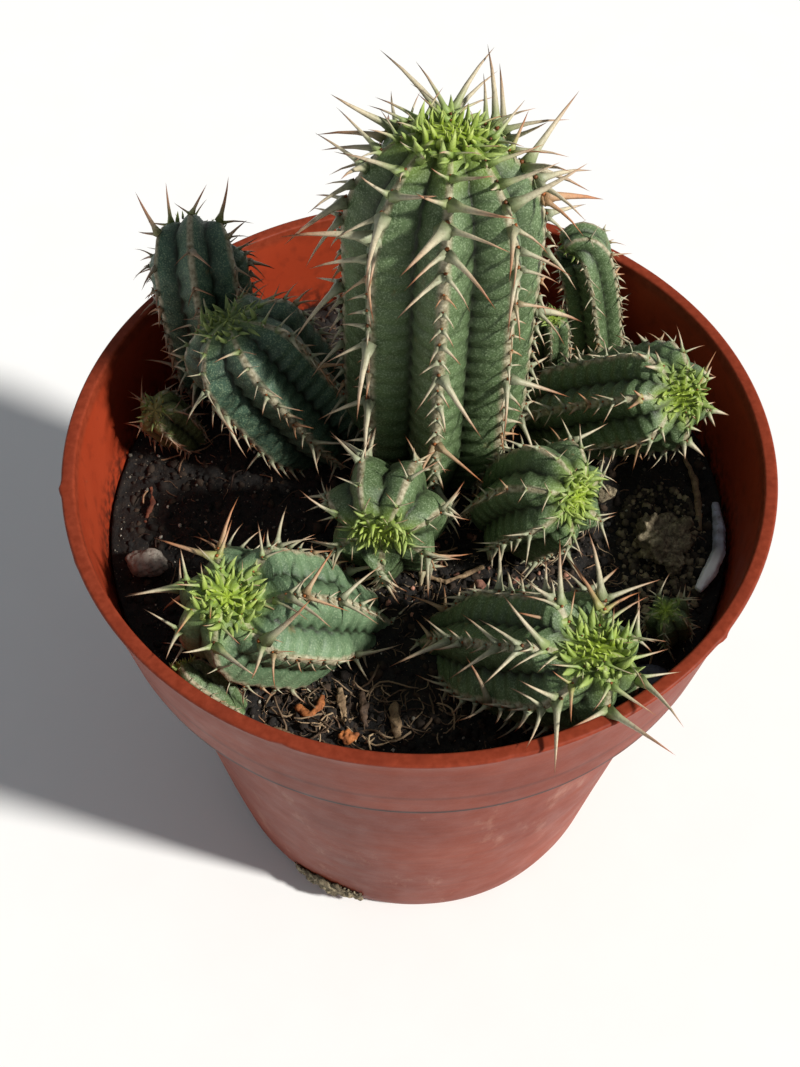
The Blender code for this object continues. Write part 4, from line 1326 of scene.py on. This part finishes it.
# The clod's crumbs are lightened as painted light, like the clod itself.
clod_bits = crumb_finish("clod_crumb", colour(58, 50, 38), colour(166, 150, 118), 1.2)
bark_bits = crumb_finish("torn_bark", colour(74, 54, 38), colour(196, 168, 132), 1.2, 0.8)
pink_bits = crumb_finish("pink_crumb", colour(96, 58, 44), colour(198, 142, 118), 1.1)

# %% Scatter them
# name, shapes, number per square metre, smallest and largest in millimetres, sink, tumble, finish, and
# the solid that the bits lie round, with how far they reach from its middle in millimetres
LITTER = (("soil_crumbs", crumbs, 4.0e5, 0.4, 2.1, 0.1, 3.1, crumb_brown, None),
          ("soil_specks", crumbs, 0.8e5, 0.18, 0.75, -0.3, 3.1, speck_pale, None),
          ("soil_fibres", fibres, 0.5e5, 1.6, 8.0, -0.02, 0.28, fibre_red, None),
          ("clod_crumbs", crumbs, 1.5e6, 0.3, 1.7, -0.1, 3.1, clod_bits, ("peat_lump", 8, 15)),
          ("bark_litter", fibres, 4.5e5, 2.5, 9.0, -0.04, 0.45, bark_bits, ("bark_strip_2", 17, 6)),
          ("front_litter", fibres, 1.6e5, 1.5, 6.0, -0.04, 0.40, bark_bits, ("dry_bud", 30, 16)),
          ("pink_crumbs", crumbs, 0.9e5, 0.5, 1.6, -0.1, 3.1, pink_bits, ("dry_bud", 26, 12)))


def ground_for(name, around):
    """A copy of the soil to scatter over: all of it, or an oval patch round one solid."""
    mesh = soil.data.copy()
    if around is not None:
        node, reach_x, reach_y = around
        middle = (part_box(node)[0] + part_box(node)[1]) / 2
        work = bmesh.new()
        work.from_mesh(mesh)
        far = [f for f in work.faces
               if (((f.calc_center_median().x - middle.x) / (reach_x * MM)) ** 2
                   + ((f.calc_center_median().y - middle.y) / (reach_y * MM)) ** 2) > 1]
        bmesh.ops.delete(work, geom=far, context="FACES")
        work.to_mesh(mesh)
        work.free()
    return in_scene(name + "_ground", mesh)


for order, (name, shapes, number, smallest, largest, sink, tumbling, dress, around) in enumerate(LITTER):
    bits = run_tree(ground_for(name, around), scatter_tree, name, {
        "Pieces": shapes, "Number per Square Metre": number, "Smallest": smallest * MM,
        "Largest": largest * MM,
        "Sink": sink, "Tumble": tumbling, "Seed": 11 * order, "Finish": dress})
    bits.data.shade_smooth()
    hand_over(bits, "dry_litter" if shapes is fibres else "peat_soil", "soil")
drop_variants(crumbs, fibres)

# %% [markdown]
# ## Stones, lumps and litter
# The bits that can be told apart each have a solid in the frame. Their places and sizes are right, but
# their surfaces are plain. So each one is copied, cut into fine even cells, smoothed until no facet is
# left, and then weathered: pushed in and out along its surface by noise whose size and strength suit a
# stone, a clod or a strip of bark.

# %% Weathering
def weathered(node, name, cell, soften, bumps, material, seed):
    """A fine copy of a solid: facets smoothed away, surface roughened by several sizes of bump."""
    mesh = bpy.data.meshes.new(name)
    weld(mesh, 0.002 * MM, frame["nodes"][node].data)
    holder = in_scene(name, mesh)
    remesh = holder.modifiers.new("cells", "REMESH")
    remesh.mode, remesh.voxel_size = "VOXEL", cell
    smooth = holder.modifiers.new("soften", "SMOOTH")
    smooth.iterations, smooth.factor = soften, 0.5
    piece = settle_modifiers(holder, name)
    mesh = piece.data
    places = np.array([v.co for v in mesh.vertices])
    normals = np.array([v.normal for v in mesh.vertices])
    push = np.zeros(len(places))
    for size, strength in bumps:
        push += strength * np.array([noise.noise(Vector(p) / size + Vector((seed, 0, 0))) for p in places])
    places += normals * push[:, None]
    mesh.vertices.foreach_set("co", places.astype(np.float32).ravel())
    mesh.materials.clear()
    mesh.materials.append(material)
    mesh.update()
    outward(mesh)
    return piece


def stone_finish(name, light, dark, spot, roughness=0.75):
    """Mineral: two close tones in clouds, with darker pits."""
    material, tree, shader = finish(name, roughness)
    base = blend(tree, grain(tree, 2.2 * MM, 4).span(0.35, 0.65), light, dark)
    base = blend(tree, grain(tree, 0.6 * MM, 4).span(0.56, 0.7, 0, 0.8), base, spot)
    coat(tree, shader, base, grain(tree, 0.5 * MM, 4), 0.18 * MM)
    return material


def bark_finish(name, light, dark, roughness=0.8):
    """Dry plant stuff: streaked, with dark cracks and dusty patches."""
    material, tree, shader = finish(name, roughness)
    base = blend(tree, grain(tree, 1.6 * MM, 5).span(0.3, 0.7), dark, light)
    base = blend(tree, grain(tree, 0.4 * MM, 3).span(0.5, 0.7, 0, 0.7), base, dimmed(dark, 0.3))
    coat(tree, shader, base, grain(tree, 0.45 * MM, 4), 0.15 * MM)
    return material


perlite = stone_finish("white_perlite", colour(158, 148, 136), colour(112, 102, 92), colour(66, 56, 48))
slate = stone_finish("grey_pebble", colour(96, 100, 116), colour(60, 62, 74), colour(38, 38, 44), 0.55)
# Dried peat is paler than the soil; these clod colours are lifted further as painted light, since the clod
# lies in shade here.
clod = peat_finish("brown_clod", colour(96, 84, 64), colour(196, 182, 148), 0.9)
straw = bark_finish("dry_straw", colour(168, 142, 108), colour(104, 80, 56))
dark_bark = bark_finish("dark_bark", colour(108, 84, 64), colour(56, 42, 32))
pink_bud = bark_finish("pink_dry_bud", colour(178, 128, 108), colour(112, 70, 56))
orange_flower = bark_finish("orange_dry_flower", colour(196, 120, 62), colour(122, 66, 34))
red_root = bark_finish("red_fibre", colour(150, 88, 62), colour(84, 44, 32))

# %% Pale root
root_white, tree, shader = finish("pale_root", 0.5)
low_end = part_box("pale_root")[0].y
# Painted light: the root's pale colours are lifted, since it lies in shade, and its low end is whitened to
# near white, partly its bare broken end and partly a painted glint.
skinned = blend(tree, grain(tree, 3 * MM, 4).span(0.35, 0.65), colour(196, 200, 222), colour(140, 138, 150))
skinned = blend(tree, grain(tree, 0.8 * MM, 4).span(0.55, 0.7, 0, 0.75), skinned, colour(86, 74, 66))
skinned = blend(tree, (place_along(tree, 1) - low_end).span(9 * MM, 5 * MM), skinned, colour(248, 248, 252))
coat(tree, shader, skinned, grain(tree, 0.8 * MM, 4), 0.12 * MM)

# %% Weather the bits
# solid, name, slot, cell in mm, smoothing passes, bumps as size and strength in mm, finish
BITS = (
    ("perlite_grain", "perlite_bead", "white_stone", 0.22, 10, ((2.4, 0.5), (0.8, 0.25)), perlite),
    ("grey_pebble", "slate_pebble", "grey_stone", 0.22, 12, ((3.0, 0.35), (0.7, 0.10)), slate),
    ("peat_lump", "crumbly_clod", "peat_soil", 0.24, 4, ((3.6, 2.2), (1.5, 1.6), (0.7, 0.8)), clod),
    ("peat_crumb", "small_clod", "peat_soil", 0.2, 4, ((2.0, 0.8), (0.8, 0.4)), clod),
    ("dry_bud", "pink_bud", "dry_litter", 0.18, 4, ((1.6, 0.6), (0.6, 0.3)), pink_bud),
    ("dry_flower", "orange_flower", "dry_litter", 0.18, 3, ((1.6, 0.7), (0.6, 0.35)), orange_flower),
    ("long_twig", "long_dry_twig", "dry_litter", 0.16, 3, ((1.8, 0.4), (0.5, 0.15)), straw),
    ("bark_strip_1", "bark_sliver_1", "dry_litter", 0.16, 2, ((1.6, 0.5), (0.5, 0.2)), straw),
    ("bark_strip_2", "bark_sliver_2", "dry_litter", 0.16, 2, ((1.6, 0.5), (0.5, 0.2)), dark_bark),
    ("bark_strip_3", "bark_sliver_3", "dry_litter", 0.16, 2, ((1.6, 0.5), (0.5, 0.2)), straw),
    ("curled_leaf", "curled_leaf_scale", "dry_litter", 0.16, 2, ((1.6, 0.5), (0.5, 0.15)), orange_flower),
    ("fine_root", "fine_dry_root", "dry_litter", 0.14, 2, ((1.4, 0.35), (0.5, 0.1)), straw),
    ("lump_root", "root_over_clod", "dry_litter", 0.14, 2, ((1.4, 0.35), (0.5, 0.1)), straw),
    ("red_fibre", "reddish_fibre", "dry_litter", 0.14, 2, ((1.4, 0.35), (0.5, 0.1)), red_root),
    ("pale_root", "pale_bare_root", "pale_root", 0.2, 8, ((4.0, 0.22), (0.9, 0.10)), root_white),
    ("soil_crust", "dried_soil_crust", "peat_soil", 0.3, 3, ((3.0, 1.0), (1.0, 0.6)), clod),
)
for order, (node, name, slot, cell, soften, bumps, dress) in enumerate(BITS):
    bit = weathered(node, name, cell * MM, soften, [(a * MM, b * MM) for a, b in bumps], dress, 3.7 * order)
    hand_over(bit, slot, node)
